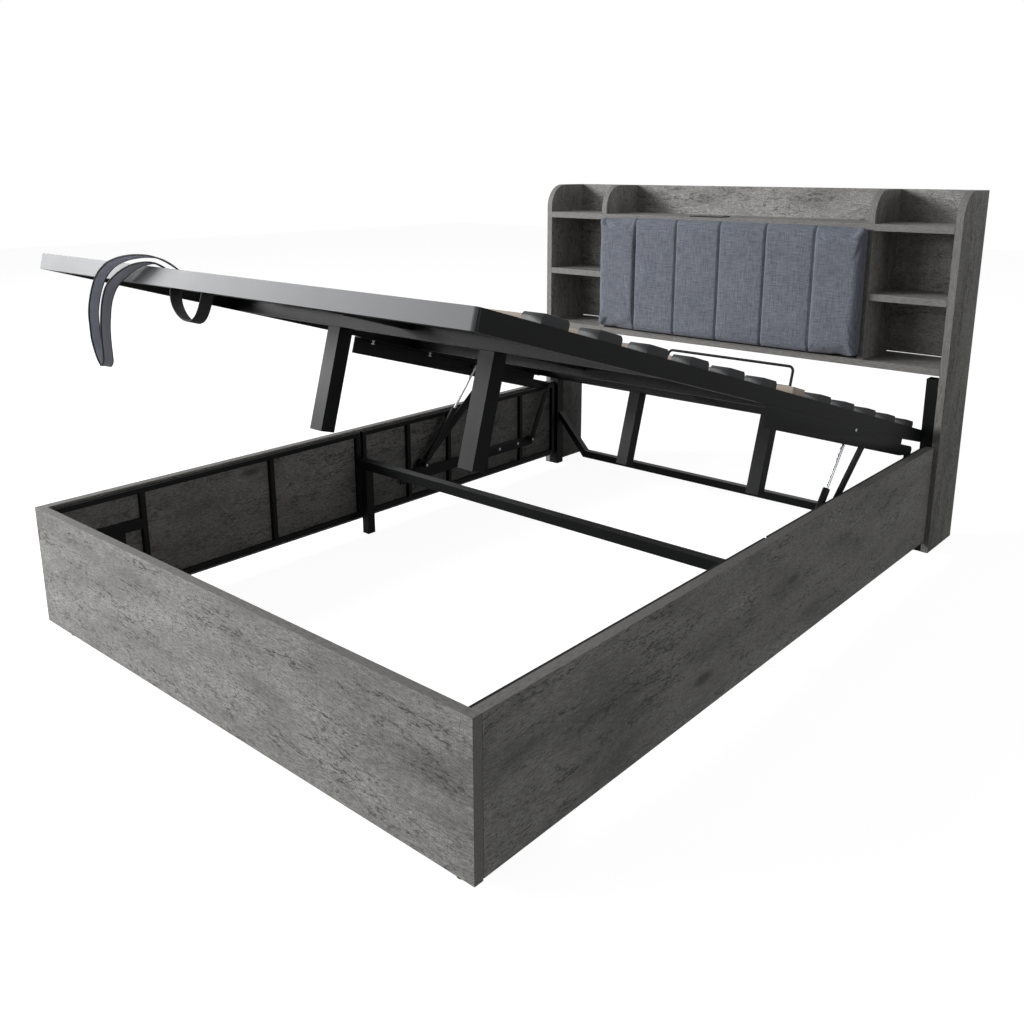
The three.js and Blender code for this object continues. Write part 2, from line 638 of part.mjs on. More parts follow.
// The length and lean of a straight piece from a pin on the base to a pin on the platform.
function span(foot, top) {
  const end = onPlatform(top);
  return { length: Math.hypot(end.x - foot.y, end.y - foot.z), lean: Math.atan2(end.y - foot.z, end.x - foot.y) };
}

function rivet(from, to, y, z) {
  const low = Math.min(from, to);
  const shank = barAcross(pin.radius, [low, Math.max(from, to)], y, z);
  return [shank, barAcross(pin.head, [low - pin.headThick, low], y, z)];
}

function addLiftBars() {
  const outer = frameInner - seat;
  const inner = outer - liftBar.thick;
  const radius = liftBar.earRadius;
  const ear = new THREE.Shape();
  ear.moveTo(frontPin.y - liftBar.earSpread, liftBar.bottom + radius / 2);
  ear.lineTo(frontPin.y + liftBar.earSpread, liftBar.bottom + radius / 2);
  ear.lineTo(frontPin.y + radius, frontPin.z);
  ear.absarc(frontPin.y, frontPin.z, radius, 0, Math.PI, false);
  ear.closePath();
  const middle = outer - liftBar.thick / 2;
  const bar = joined(
    block([inner, outer], [frontPin.y - liftBar.lead, rearPin.y + liftBar.tail], [liftBar.bottom, liftBar.top]),
    plateAcross(ear, inner, liftBar.thick),
    barAcross(radius, [inner, outer], rearPin.y, rearPin.z, 24),
    ...rivet(strutX - strut.eyeThick / 2 - pin.slack, middle, frontPin.y, frontPin.z),
    ...rivet(linkX - link.thick / 2 - pin.slack, middle, rearPin.y, rearPin.z));
  placePair(base, 'lift_bar', bar, 'steel');
}

function linkOutline(length, width, holes) {
  const radius = width / 2;
  const outline = new THREE.Shape();
  outline.absarc(0, 0, radius, Math.PI / 2, Math.PI * 1.5, false);
  outline.absarc(length, 0, radius, -Math.PI / 2, Math.PI / 2, false);
  for (const place of holes) {
    outline.holes.push(new THREE.Path().absarc(place, 0, pin.radius + running, 0, 2 * Math.PI, false));
  }
  return outline;
}

// The rear link carries its own upper rivet, which stops just short of the lift arm.
function addLinks(rearTop) {
  const front = span(frontPin, frontTopPin);
  const frontOutline = linkOutline(front.length, link.frontWidth, [0, front.length]);
  const frontLink = plateAcross(frontOutline, -link.thick / 2, link.thick);
  const frontAt = { x: linkX, y: frontPin.y, z: frontPin.z };
  placePair(base, 'front_link', frontLink, 'steel', frontAt, front.lean);

  const rear = span(rearPin, rearTop);
  const plate = plateAcross(linkOutline(rear.length, link.rearWidth, [0]), -link.thick / 2, link.thick);
  const rearLink = joined(plate, ...rivet(-link.thick / 2, armInner - seat - linkX, rear.length, 0));
  const rearAt = { x: linkX, y: rearPin.y, z: rearPin.z };
  placePair(base, 'rear_link', rearLink, 'steel', rearAt, rear.lean);
}

function addLiftArms(rearTop) {
  const top = -platform.depth - seat;
  const low = top - liftArm.drop;
  const face = new THREE.Shape();
  const earTop = top - liftArm.earTop;
  const earEnd = Math.max(rearTop.along, armEnds[1] + liftArm.earRadius);
  face.moveTo(armEnds[0], low);
  face.lineTo(armEnds[1], low);
  face.lineTo(earEnd, -rearTop.drop - liftArm.earRadius);
  face.absarc(earEnd, -rearTop.drop, liftArm.earRadius, -Math.PI / 2, Math.PI / 2, false);
  face.lineTo(armEnds[1], earTop);
  face.lineTo(armEnds[1], top);
  face.lineTo(armEnds[0], top);
  face.closePath();
  const ledge = block([deckHalf - liftArm.ledge, deckHalf], armEnds, [top - liftArm.thick, top]);
  const pinInner = linkX - link.thick / 2 - pin.slack;
  const pinOuter = deckHalf - liftArm.thick / 2;
  const arm = joined(plateAcross(face, armInner, liftArm.thick), ledge,
    ...rivet(pinInner, pinOuter, frontTopPin.along, -frontTopPin.drop));
  placePair(deck, 'lift_arm', arm, 'steel');
}

// Gas struts: a hollow cylinder and the rod that slides in it
function lathed(profile, sides = 24) {
  return new THREE.LatheGeometry(profile.map(([radius, y]) => new THREE.Vector2(radius, y)), sides);
}

function addStruts() {
  const { length, lean } = span(frontPin, strutTopPin);
  const { radius, wall, collar, eye, eyeThick } = strut;
  const bore = rod.radius + running;
  const bottom = 2 * eye;
  const shell = lathed([[0, bottom], [radius, bottom], [radius, strut.length], [bore, strut.length],
    [bore, strut.length - collar], [radius - wall, strut.length - collar], [radius - wall, bottom + collar],
    [0, bottom + collar]]);
  const neck = lathed([[0, 0], [strut.neck, 0], [strut.neck, bottom + wall], [0, bottom + wall]], 16);
  const ring = barAcross(eye, [-eyeThick / 2, eyeThick / 2], 0, 0, 24);
  const hole = barAcross(pin.radius + running, [-eyeThick, eyeThick], 0, 0);
  const cylinder = cut(joined(shell, neck, ring), hole);
  const at = { x: strutX, y: frontPin.y, z: frontPin.z };
  placePair(base, 'gas_cylinder', cylinder, 'steel', at, lean);

  const shaft = lathed([[0, strut.length - rod.inside], [rod.radius, strut.length - rod.inside],
    [rod.radius, length], [0, length]], 16);
  const head = barAcross(pin.head, [-eyeThick / 2, eyeThick / 2], length, 0);
  const stud = barAcross(pin.radius, [0, armInner - seat - strutX], length, 0);
  placePair(base, 'gas_rod', joined(shaft, head, stud), 'chrome', at, lean);
}

// The long pull strap: places as shares of its reach across, its reach out and its drop, then the
// heading of its width in degrees, which stays level: 90 points to the headboard, 180 to the left.
const strapShares = [
  [0, -0.59, -0.0079, 142], [0.053, -0.06, -0.052, 131], [0.139, 0.38, -0.078, 116],
  [0.245, 0.71, -0.073, 106], [0.363, 0.91, -0.052, 98], [0.511, 1, -0.0125, 96],
  [0.668, 0.97, 0.052, 99], [0.805, 0.85, 0.164, 104], [0.908, 0.59, 0.31, 106],
  [0.982, 0.24, 0.496, 106], [1, -0.136, 0.668, 106], [0.996, -0.35, 0.776, 106],
  [0.963, -0.58, 0.888, 106], [0.926, -0.71, 0.957, 106], [0.88, -0.8, 1, 106],
  [0.838, -0.74, 0.96, 106], [0.824, -0.58, 0.888, 106], [0.824, -0.35, 0.776, 106],
  [0.82, -0.136, 0.668, 106], [0.802, 0.09, 0.551, 106], [0.75, 0.41, 0.385, 106],
  [0.655, 0.65, 0.235, 96], [0.508, 0.74, 0.12, 91], [0.375, 0.62, 0.03, 103],
  [0.279, 0.32, -0.0165, 120], [0.228, -0.06, -0.0305, 145], [0.199, -0.59, -0.0079, 156],
];

function addStrap() {
  const middle = (share) => strap.startX - share * strap.reach;
  const knots = strapShares.map(([across, out, drop]) => (
    new THREE.Vector3(middle(across), -out * strap.out, -drop * strap.drop)));
  const curve = new THREE.CatmullRomCurve3(knots, false, 'centripetal');
  const points = [];
  const widths = [];
  for (let i = 0; i <= strap.steps; i++) {
    const place = i / strap.steps;
    const knot = place * (strapShares.length - 1);
    const low = Math.min(Math.floor(knot), strapShares.length - 2);
    const heading = THREE.MathUtils.degToRad(
      THREE.MathUtils.lerp(strapShares[low][3], strapShares[low + 1][3], knot - low));
    const level = new THREE.Vector3(Math.cos(heading), Math.sin(heading), 0);
    const tangent = curve.getTangent(place);
    points.push(curve.getPoint(place));
    widths.push(level.addScaledVector(tangent, -level.dot(tangent)).normalize());
  }
  place(deck, 'pull_strap', ribbon(points, widths, strap.width, strap.thick), 'webbing');
}

function addPullLoop() {
  const top = -platform.depth - seat;
  const points = [];
  for (let i = 0; i <= pullLoop.steps; i++) {
    const angle = Math.PI * i / pullLoop.steps;
    const x = pullLoop.centreX - pullLoop.halfSpan * Math.cos(angle) + pullLoop.skew * Math.sin(angle) ** 2;
    points.push(new THREE.Vector3(x, pullLoop.along, top - pullLoop.drop * Math.sin(angle)));
  }
  const widths = points.map(() => new THREE.Vector3(0, 1, 0));
  place(deck, 'pull_loop', ribbon(points, widths, pullLoop.width, pullLoop.thick), 'blackWebbing');
}

addBaseBoards();
addRailFrames();
addBaseTubes();
addHeadboardBoards();
addCushion();
addPlatform();
addSlats();
addMattressStop();
const rearTop = rearTopPlace();
addLiftBars();
addLinks(rearTop);
addLiftArms(rearTop);
addStruts();
addStrap();
addPullLoop();

export default bed;
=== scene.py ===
"""Looks of a storage bed with a shelved headboard, dressed round its fixed frame.

Metres throughout. The frame's own axes are kept: +X to the right seen from the
foot, +Y towards the headboard, +Z up, with the origin on the floor under the middle.
"""

import logging
import math
from collections.abc import Iterable, Sequence
from dataclasses import dataclass, field
from enum import Enum

import bmesh
import bpy
from mathutils import Matrix, Vector, noise


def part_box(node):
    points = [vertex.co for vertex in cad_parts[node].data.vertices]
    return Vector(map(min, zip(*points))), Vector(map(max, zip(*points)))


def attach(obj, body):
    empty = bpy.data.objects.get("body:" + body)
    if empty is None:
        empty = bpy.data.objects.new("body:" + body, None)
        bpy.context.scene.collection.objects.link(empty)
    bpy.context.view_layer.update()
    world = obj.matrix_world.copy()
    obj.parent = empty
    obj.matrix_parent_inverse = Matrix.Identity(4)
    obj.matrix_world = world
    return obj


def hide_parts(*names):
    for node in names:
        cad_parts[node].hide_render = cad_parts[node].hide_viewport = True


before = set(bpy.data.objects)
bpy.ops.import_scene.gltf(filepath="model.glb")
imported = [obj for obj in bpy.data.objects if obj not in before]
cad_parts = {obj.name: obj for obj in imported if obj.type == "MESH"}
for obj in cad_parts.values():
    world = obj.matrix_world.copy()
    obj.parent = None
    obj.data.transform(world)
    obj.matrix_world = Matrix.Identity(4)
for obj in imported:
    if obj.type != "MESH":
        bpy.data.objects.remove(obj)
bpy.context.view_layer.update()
LOG = logging.getLogger("storage_bed")

Material = bpy.types.Material
Mesh = bpy.types.Mesh
Piece = bpy.types.Object
Socket = bpy.types.NodeSocket
Tree = bpy.types.NodeTree

MM = 0.001
# The CAD frame counts lengths from the foot panel; the row frame from mid length.
HALF_LENGTH = 1.1593
# The lifted platform: its tilt in degrees and its own origin in the row frame.
DECK_TILT = -16.4
DECK_ORIGIN = (0, 72.8 * MM - HALF_LENGTH, 999.1 * MM)
# The slats on the platform's own axes: the first one's place, the pitch and the number of the
# place that the plain stop slat takes.
SLAT_FIRST = 201.3 * MM
SLAT_PITCH = 165.1 * MM
STOP_SLAT = 6
CHANNELS = 6

HALF_TURN = Matrix.Rotation(math.pi, 4, "Z")
# Degrees from which an edge stays a crease: in pieces with flats, in turned ones and in straps.
FLAT_CREASE = 24
TURNED_CREASE = 35
STRAP_CREASE = 40

EDGE_MARK = "edge_band"
STRAP_MAP = "strap_uv"
# A mix node set to colours: its settings, and the sockets of share, first, second and result.
COLOUR_MIX = {"data_type": "RGBA", "clamp_factor": True}
SHARE, FIRST, SECOND, MIXED = 0, 6, 7, 2
# The middle stretch of a noise, which becomes black to white.
MIDDLE = (0.3, 0.7)


# Small tools


def linear(hex_colour: str) -> tuple[float, float, float, float]:
    """Turns an sRGB hex colour into Blender's linear colour.

    Args:
        hex_colour: a hash and six hex digits.

    Returns:
        Red, green, blue and an alpha of 1.
    """
    parts = [int(hex_colour[i:i + 2], 16) / 255 for i in (1, 3, 5)]
    bent = [c / 12.92 if c <= 0.04045 else ((c + 0.055) / 1.055) ** 2.4 for c in parts]
    return (bent[0], bent[1], bent[2], 1.0)


def add_node(tree: Tree, kind: str, inputs: dict | None = None, **settings) -> bpy.types.Node:
    """Adds a node with its settings, values and links.

    Args:
        tree: the node tree that takes it.
        kind: the node's type name.
        inputs: socket name or index to a value, or to an output socket to link from.
        **settings: attributes of the node.

    Returns:
        The new node.
    """
    node = tree.nodes.new(kind)
    for name, value in settings.items():
        setattr(node, name, value)
    for key, value in (inputs or {}).items():
        if isinstance(value, Socket):
            tree.links.new(value, node.inputs[key])
        else:
            node.inputs[key].default_value = value
    return node


def nodes_of(*stems: str) -> list[str]:
    """Returns the CAD nodes whose names begin with one of the stems, in order."""
    return sorted(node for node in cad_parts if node.startswith(stems))


def deck_matrix() -> Matrix:
    """Returns the matrix from the lifted platform's own axes to the row frame."""
    return Matrix.Translation(DECK_ORIGIN) @ Matrix.Rotation(math.radians(DECK_TILT), 4, "X")


def new_object(name: str, mesh: Mesh, finish: Material | None = None) -> Piece:
    """Puts a mesh into the scene at the origin.

    Args:
        name: the piece's name.
        mesh: its mesh.
        finish: its material, if it has one yet.

    Returns:
        The new piece.
    """
    piece = bpy.data.objects.new(name, mesh)
    bpy.context.scene.collection.objects.link(piece)
    if finish is not None:
        mesh.materials.clear()
        mesh.materials.append(finish)
    return piece


def plain(work: bmesh.types.BMesh, name: str) -> Mesh:
    """Turns a working mesh into a plain one and frees it.

    Args:
        work: the working mesh.
        name: the plain mesh's name.

    Returns:
        The plain mesh.
    """
    mesh = bpy.data.meshes.new(name)
    work.to_mesh(mesh)
    work.free()
    return mesh


def tidy(mesh: Mesh) -> Mesh:
    """Merges the doubles of a mesh, in place, and turns every face outwards.

    Args:
        mesh: the mesh.

    Returns:
        The same mesh.
    """
    work = bmesh.new()
    work.from_mesh(mesh)
    bmesh.ops.remove_doubles(work, verts=work.verts, dist=1e-6)
    bmesh.ops.recalc_face_normals(work, faces=work.faces)
    work.to_mesh(mesh)
    work.free()
    return mesh


def mesh_from(name: str, points: Sequence, faces: Sequence) -> Mesh:
    """Makes a mesh whose faces all point outwards.

    Args:
        name: the mesh's name.
        points: its vertices.
        faces: vertex numbers of each face.

    Returns:
        The mesh.
    """
    mesh = bpy.data.meshes.new(name)
    mesh.from_pydata([tuple(point) for point in points], [], faces)
    return tidy(mesh)


def applied(piece: Piece) -> Piece:
    """Bakes a piece's modifiers into a plain mesh and removes them.

    Args:
        piece: the piece.

    Returns:
        The same piece.
    """
    bpy.context.view_layer.update()
    graph = bpy.context.evaluated_depsgraph_get()
    mesh = bpy.data.meshes.new_from_object(piece.evaluated_get(graph))
    piece.modifiers.clear()
    piece.data = mesh
    return piece


def shade(mesh: Mesh, crease: float) -> None:
    """Shades a mesh smooth, but for edges with an angle over the crease's, in degrees."""
    mesh.shade_smooth()
    mesh.set_sharp_from_angle(angle=math.radians(crease))


# Finishes


class Axis(Enum):
    """The direction along which a board's grain runs, or across which its face lies."""

    X = 0
    Y = 1
    Z = 2


@dataclass(frozen=True)
class Finish:
    """What every finish shares: a name, a relief in millimetres and the making of the material."""

    name: str = "finish"
    relief: float = 0.0

    def build(self) -> Material:
        """Makes the material from the finish's own look.

        Returns:
            The new material.
        """
        material = bpy.data.materials.new(self.name)
        material.use_nodes = True
        tree = material.node_tree
        tree.nodes.clear()
        inputs, height = self.look(tree)
        raised = add_node(tree, "ShaderNodeBump", {"Height": height, "Distance": self.relief * MM,
                                                   "Strength": 1.0})
        shader = add_node(tree, "ShaderNodeBsdfPrincipled", {**inputs, "Normal": raised.outputs["Normal"]})
        add_node(tree, "ShaderNodeOutputMaterial", {"Surface": shader.outputs["BSDF"]})
        return material

    def look(self, tree: Tree) -> tuple[dict, Socket]:
        """Draws the finish; each finish has its own.

        Args:
            tree: the material's tree.

        Returns:
            What the shader's inputs take, and the height of the surface from 0 to 1.
        """
        raise NotImplementedError

    def streaks(self, tree: Tree, place: Socket, waves: Sequence[float], detail: float,
                roughness: float = 0.5) -> Socket:
        """Makes noise that is stretched along one axis or more.

        Args:
            tree: the material's tree.
            place: the place on the piece.
            waves: waves per metre along each axis.
            detail: the noise's detail.
            roughness: the noise's roughness.

        Returns:
            The noise, from 0 to 1.
        """
        at = add_node(tree, "ShaderNodeVectorMath", {0: place, 1: waves}, operation="MULTIPLY").outputs[0]
        return add_node(tree, "ShaderNodeTexNoise", {"Vector": at, "Scale": 1.0, "Detail": detail,
                                                     "Roughness": roughness}).outputs[0]


@dataclass(frozen=True)
class Streaks:
    """Noise along the grain: its waves per metre, its detail and the values that become 0 and 1."""

    along: float
    across: float
    detail: float
    low: float = 0.0
    high: float = 1.0


@dataclass(frozen=True)
class WeatheredOakLaminate(Finish):
    """Melamine paper on chipboard, printed as sawn grey oak and pressed with a fine tick."""

    relief: float = 0.08
    grain: Axis = Axis.X
    face: str = "#8d8c8a"
    pale: str = "#a09f9d"
    dark: str = "#737271"
    crack: str = "#3c3b3b"
    band: str = "#7c7b79"
    roughness: tuple[float, float] = (0.55, 0.75)
    gloss: float = 0.25
    # The broad tones, and where dark, middle and pale lie in their noise.
    tones: Streaks = Streaks(3.2, 12.0, 6.0)
    stops: tuple[float, float, float] = (0.3, 0.5, 0.72)
    # The grain's sway, in metres.
    sways: Streaks = Streaks(1.4, 4.0, 2.0)
    sway: float = 0.07
    # Knots: waves per metre, how far they reach and how far they draw the grain aside in metres;
    # their dark core's edge and darkness.
    knot_waves: tuple[float, float, float] = (1.7, 5.2, 5.2)
    knot_reach: float = 0.35
    knot_pull: float = 0.05
    core_edge: tuple[float, float] = (0.03, 0.085)
    core_dark: float = 0.7
    # Fibres 3 mm across, and saw marks 7 mm along.
    fibres: Streaks = Streaks(60.0, 1 / (3.0 * MM), 3.0)
    saw_marks: Streaks = Streaks(1 / (7.0 * MM), 30.0, 1.0, *MIDDLE)
    # The pressed tick is 1 mm across; drawn at 2.4 mm, the finest that shows at this distance.
    ticks: Streaks = Streaks(1 / (2.4 * MM), 1 / (2.4 * MM), 2.0, *MIDDLE)
    # Shares at which these lie over the tones, and the fibres over the edge band.
    fibre_share: float = 0.34
    tick_share: float = 0.4
    saw_share: float = 0.06
    band_share: float = 0.3
    # Flecks 4 mm across, in patches, and their darkness.
    fleck_spots: Streaks = Streaks(90.0, 1 / (4.0 * MM), 2.0, 0.57, 0.68)
    fleck_patches: Streaks = Streaks(3.0, 12.0, 2.0, 0.42, 0.62)
    fleck_dark: float = 0.8
    # Cracks about 26 mm apart, broken and in patches, with their edge and darkness.
    crack_lines: Streaks = Streaks(9.0, 1 / (26.0 * MM), 6.0)
    crack_patches: Streaks = Streaks(4.0, 16.0, 3.0, 0.43, 0.57)
    crack_breaks: Streaks = Streaks(70.0, 240.0, 2.0, 0.4, 0.56)
    crack_edge: tuple[float, float] = (0.01, 0.038)
    crack_dark: float = 0.85

    def look(self, tree: Tree) -> tuple[dict, Socket]:
        """Draws the print, whose grain runs along the board, and the plain edge band.

        Args:
            tree: the material's tree.

        Returns:
            What the shader's inputs take, and the height of the surface.
        """
        place = add_node(tree, "ShaderNodeTexCoord").outputs["Object"]
        split = add_node(tree, "ShaderNodeSeparateXYZ", {0: place}).outputs
        order = [self.grain, *(axis for axis in Axis if axis is not self.grain)]
        along, across, deep = (split[axis.value] for axis in order)
        straight = add_node(tree, "ShaderNodeCombineXYZ", {0: along, 1: across, 2: deep}).outputs[0]
        at = add_node(tree, "ShaderNodeVectorMath", {0: straight, 1: self.knot_waves}, operation="MULTIPLY")
        knot = add_node(tree, "ShaderNodeTexVoronoi", {"Vector": at.outputs[0], "Scale": 1.0})
        swing = self.swung(tree, straight, across, knot.outputs["Distance"])
        bent = add_node(tree, "ShaderNodeCombineXYZ", {0: along, 1: swing, 2: deep}).outputs[0]
        fibre = self.grained(tree, bent, self.fibres)
        streak = add_node(tree, "ShaderNodeMapRange", {"Value": fibre, "From Min": MIDDLE[0],
                                                       "From Max": MIDDLE[1]}).outputs[0]
        marks = add_node(tree, "ShaderNodeMath", {0: self.cracks(tree, bent), 1: self.flecks(tree, bent)},
                         operation="MAXIMUM").outputs[0]
        core = add_node(tree, "ShaderNodeMapRange", {
            "Value": knot.outputs["Distance"], "From Min": self.core_edge[0], "From Max": self.core_edge[1],
            "To Min": self.core_dark, "To Max": 0.0})
        dark = add_node(tree, "ShaderNodeMath", {0: marks, 1: core.outputs[0]}, operation="MAXIMUM")
        face = add_node(tree, "ShaderNodeMix", {
            SHARE: dark.outputs[0], FIRST: self.printed(tree, straight, bent, streak),
            SECOND: linear(self.crack)}, **COLOUR_MIX)
        band = add_node(tree, "ShaderNodeMix", {SHARE: self.band_share, FIRST: linear(self.band),
                                                SECOND: streak}, blend_type="OVERLAY", **COLOUR_MIX)
        edge = add_node(tree, "ShaderNodeAttribute", attribute_name=EDGE_MARK).outputs["Fac"]
        colour = add_node(tree, "ShaderNodeMix", {SHARE: edge, FIRST: face.outputs[MIXED],
                                                  SECOND: band.outputs[MIXED]}, **COLOUR_MIX)
        rough = add_node(tree, "ShaderNodeMapRange", {"Value": fibre, "To Min": self.roughness[0],
                                                      "To Max": self.roughness[1]})
        height = add_node(tree, "ShaderNodeMath", {0: fibre, 1: marks}, operation="SUBTRACT").outputs[0]
        return {"Base Color": colour.outputs[MIXED], "Roughness": rough.outputs[0],
                "Specular IOR Level": self.gloss}, height

    def grained(self, tree: Tree, place: Socket, kind: Streaks) -> Socket:
        """Makes noise stretched along the grain.

        Args:
            tree: the material's tree.
            place: the place along the grain, across it and through the board.
            kind: the noise's waves, detail and span.

        Returns:
            The noise, from 0 to 1.
        """
        value = self.streaks(tree, place, (kind.along, kind.across, kind.across), kind.detail, 0.6)
        if (kind.low, kind.high) == (0.0, 1.0):
            return value
        return add_node(tree, "ShaderNodeMapRange", {"Value": value, "From Min": kind.low,
                                                     "From Max": kind.high}).outputs[0]

    def swung(self, tree: Tree, place: Socket, across: Socket, knot: Socket) -> Socket:
        """Sways the place across the grain and draws it round the knots.

        Args:
            tree: the material's tree.
            place: the place along the grain, across it and through the board.
            across: the place across the grain.
            knot: the distance to the nearest knot.

        Returns:
            The swayed place across the grain.
        """
        sway = self.grained(tree, place, self.sways)
        first = add_node(tree, "ShaderNodeMath", {0: sway, 1: self.sway, 2: across},
                         operation="MULTIPLY_ADD").outputs[0]
        near = add_node(tree, "ShaderNodeMapRange", {
            "Value": knot, "From Min": 0.0, "From Max": self.knot_reach, "To Min": self.knot_pull,
            "To Max": 0.0}).outputs[0]
        return add_node(tree, "ShaderNodeMath", {0: first, 1: near}, operation="ADD").outputs[0]

    def printed(self, tree: Tree, straight: Socket, bent: Socket, streak: Socket) -> Socket:
        """Draws the print's colour without its dark marks.

        Args:
            tree: the material's tree.
            straight: the place on the board.
            bent: the same place, swayed with the grain.
            streak: the fibres, from 0 to 1.

        Returns:
            The colour.
        """
        ramp = add_node(tree, "ShaderNodeValToRGB", {"Fac": self.grained(tree, bent, self.tones)})
        low, high = ramp.color_ramp.elements
        low.position, low.color = self.stops[0], linear(self.dark)
        high.position, high.color = self.stops[2], linear(self.pale)
        ramp.color_ramp.elements.new(self.stops[1]).color = linear(self.face)
        saw = self.grained(tree, straight, self.saw_marks)
        tick = self.grained(tree, straight, self.ticks)
        colour = ramp.outputs["Color"]
        for share, layer in ((self.fibre_share, streak), (self.tick_share, tick), (self.saw_share, saw)):
            colour = add_node(tree, "ShaderNodeMix", {SHARE: share, FIRST: colour, SECOND: layer},
                              blend_type="OVERLAY", **COLOUR_MIX).outputs[MIXED]
        return colour

    def flecks(self, tree: Tree, place: Socket) -> Socket:
        """Draws short dark flecks along the grain, in patches.

        Args:
            tree: the material's tree.
            place: the place, swayed with the grain.

        Returns:
            How dark the flecks are, from 0 to 1.
        """
        mask = self.grained(tree, place, self.fleck_spots)
        for share in (self.grained(tree, place, self.fleck_patches), self.fleck_dark):
            mask = add_node(tree, "ShaderNodeMath", {0: mask, 1: share}, operation="MULTIPLY").outputs[0]
        return mask

    def cracks(self, tree: Tree, place: Socket) -> Socket:
        """Draws thin dark cracks along the grain, broken and in patches.

        Args:
            tree: the material's tree.
            place: the place, swayed with the grain.

        Returns:
            How dark the cracks are, from 0 to 1.
        """
        line = self.grained(tree, place, self.crack_lines)
        off = add_node(tree, "ShaderNodeMath", {0: line, 1: 0.5}, operation="SUBTRACT").outputs[0]
        near = add_node(tree, "ShaderNodeMath", {0: off}, operation="ABSOLUTE").outputs[0]
        mask = add_node(tree, "ShaderNodeMapRange", {
            "Value": near, "From Min": self.crack_edge[0], "From Max": self.crack_edge[1], "To Min": 1.0,
            "To Max": 0.0}).outputs[0]
        patch = self.grained(tree, place, self.crack_patches)
        broken = self.grained(tree, place, self.crack_breaks)
        for share in (patch, broken, self.crack_dark):
            mask = add_node(tree, "ShaderNodeMath", {0: mask, 1: share}, operation="MULTIPLY").outputs[0]
        return mask


@dataclass(frozen=True)
class Clouded(Finish):
    """A smooth finish of two tones in faint clouds, raised by a fine grain."""

    colour: str = "#808080"
    clouded: str = "#808080"
    # The clouds' waves per metre and their detail.
    clouds: tuple[float, float] = (7.0, 4.0)
    # Millimetres from one dimple or grain to the next, and their detail.
    grain: tuple[float, float] = (1.5, 1.0)
    # The roughness, what the noise takes from it and adds to it, and whether that noise is the grain.
    roughness: float = 0.4
    uneven: tuple[float, float] = (0.05, 0.07)
    rough_grain: bool = False
    gloss: float = 0.5
    metal: float = 0.0

    def look(self, tree: Tree) -> tuple[dict, Socket]:
        """Draws the clouds and the grain.

        Args:
            tree: the material's tree.

        Returns:
            What the shader's inputs take, and the height of the surface.
        """
        place = add_node(tree, "ShaderNodeTexCoord").outputs["Object"]
        cloud, grain = (add_node(tree, "ShaderNodeTexNoise", {"Vector": place, "Scale": scale,
                                                              "Detail": detail}).outputs[0]
                        for scale, detail in (self.clouds, (1 / (self.grain[0] * MM), self.grain[1])))
        colour = add_node(tree, "ShaderNodeMix", {SHARE: cloud, FIRST: linear(self.colour),
                                                  SECOND: linear(self.clouded)}, **COLOUR_MIX)
        rough = add_node(tree, "ShaderNodeMapRange", {"Value": grain if self.rough_grain else cloud,
                                                      "To Min": self.roughness - self.uneven[0],
                                                      "To Max": self.roughness + self.uneven[1]})
        return {"Base Color": colour.outputs[MIXED], "Roughness": rough.outputs[0],
                "Specular IOR Level": self.gloss, "Metallic": self.metal}, grain


@dataclass(frozen=True)
class PowderCoat(Clouded):
    """Satin polyester powder baked on steel, whose orange peel has dimples 1.5 mm apart."""

    relief: float = 0.02
    colour: str = "#0f1011"
    clouded: str = "#161718"
    gloss: float = 0.16


@dataclass(frozen=True)
class MouldedPlastic(Clouded):
    """Black polypropylene from a spark-eroded mould, which leaves a fine dull grain."""

    relief: float = 0.03
    colour: str = "#1d1e20"
    clouded: str = "#2b2c2f"
    clouds: tuple[float, float] = (20.0, 3.0)
    # Mould grain is 0.4 mm; drawn at 1 mm so that it shows close up.
    grain: tuple[float, float] = (1.0, 2.0)
    roughness: float = 0.5
    uneven: tuple[float, float] = (0.08, 0.12)
    rough_grain: bool = True
    gloss: float = 0.35


@dataclass(frozen=True)
class BareMetal(Clouded):
    """Zinc-plated or chromed steel: bright metal with clouds 25 mm across."""

    relief: float = 0.002
    colour: str = "#b9bcc0"
    clouded: str = "#8f9296"
    clouds: tuple[float, float] = (40.0, 4.0)
    grain: tuple[float, float] = (25.0, 4.0)
    roughness: float = 0.3
    uneven: tuple[float, float] = (0.08, 0.1)
    metal: float = 1.0


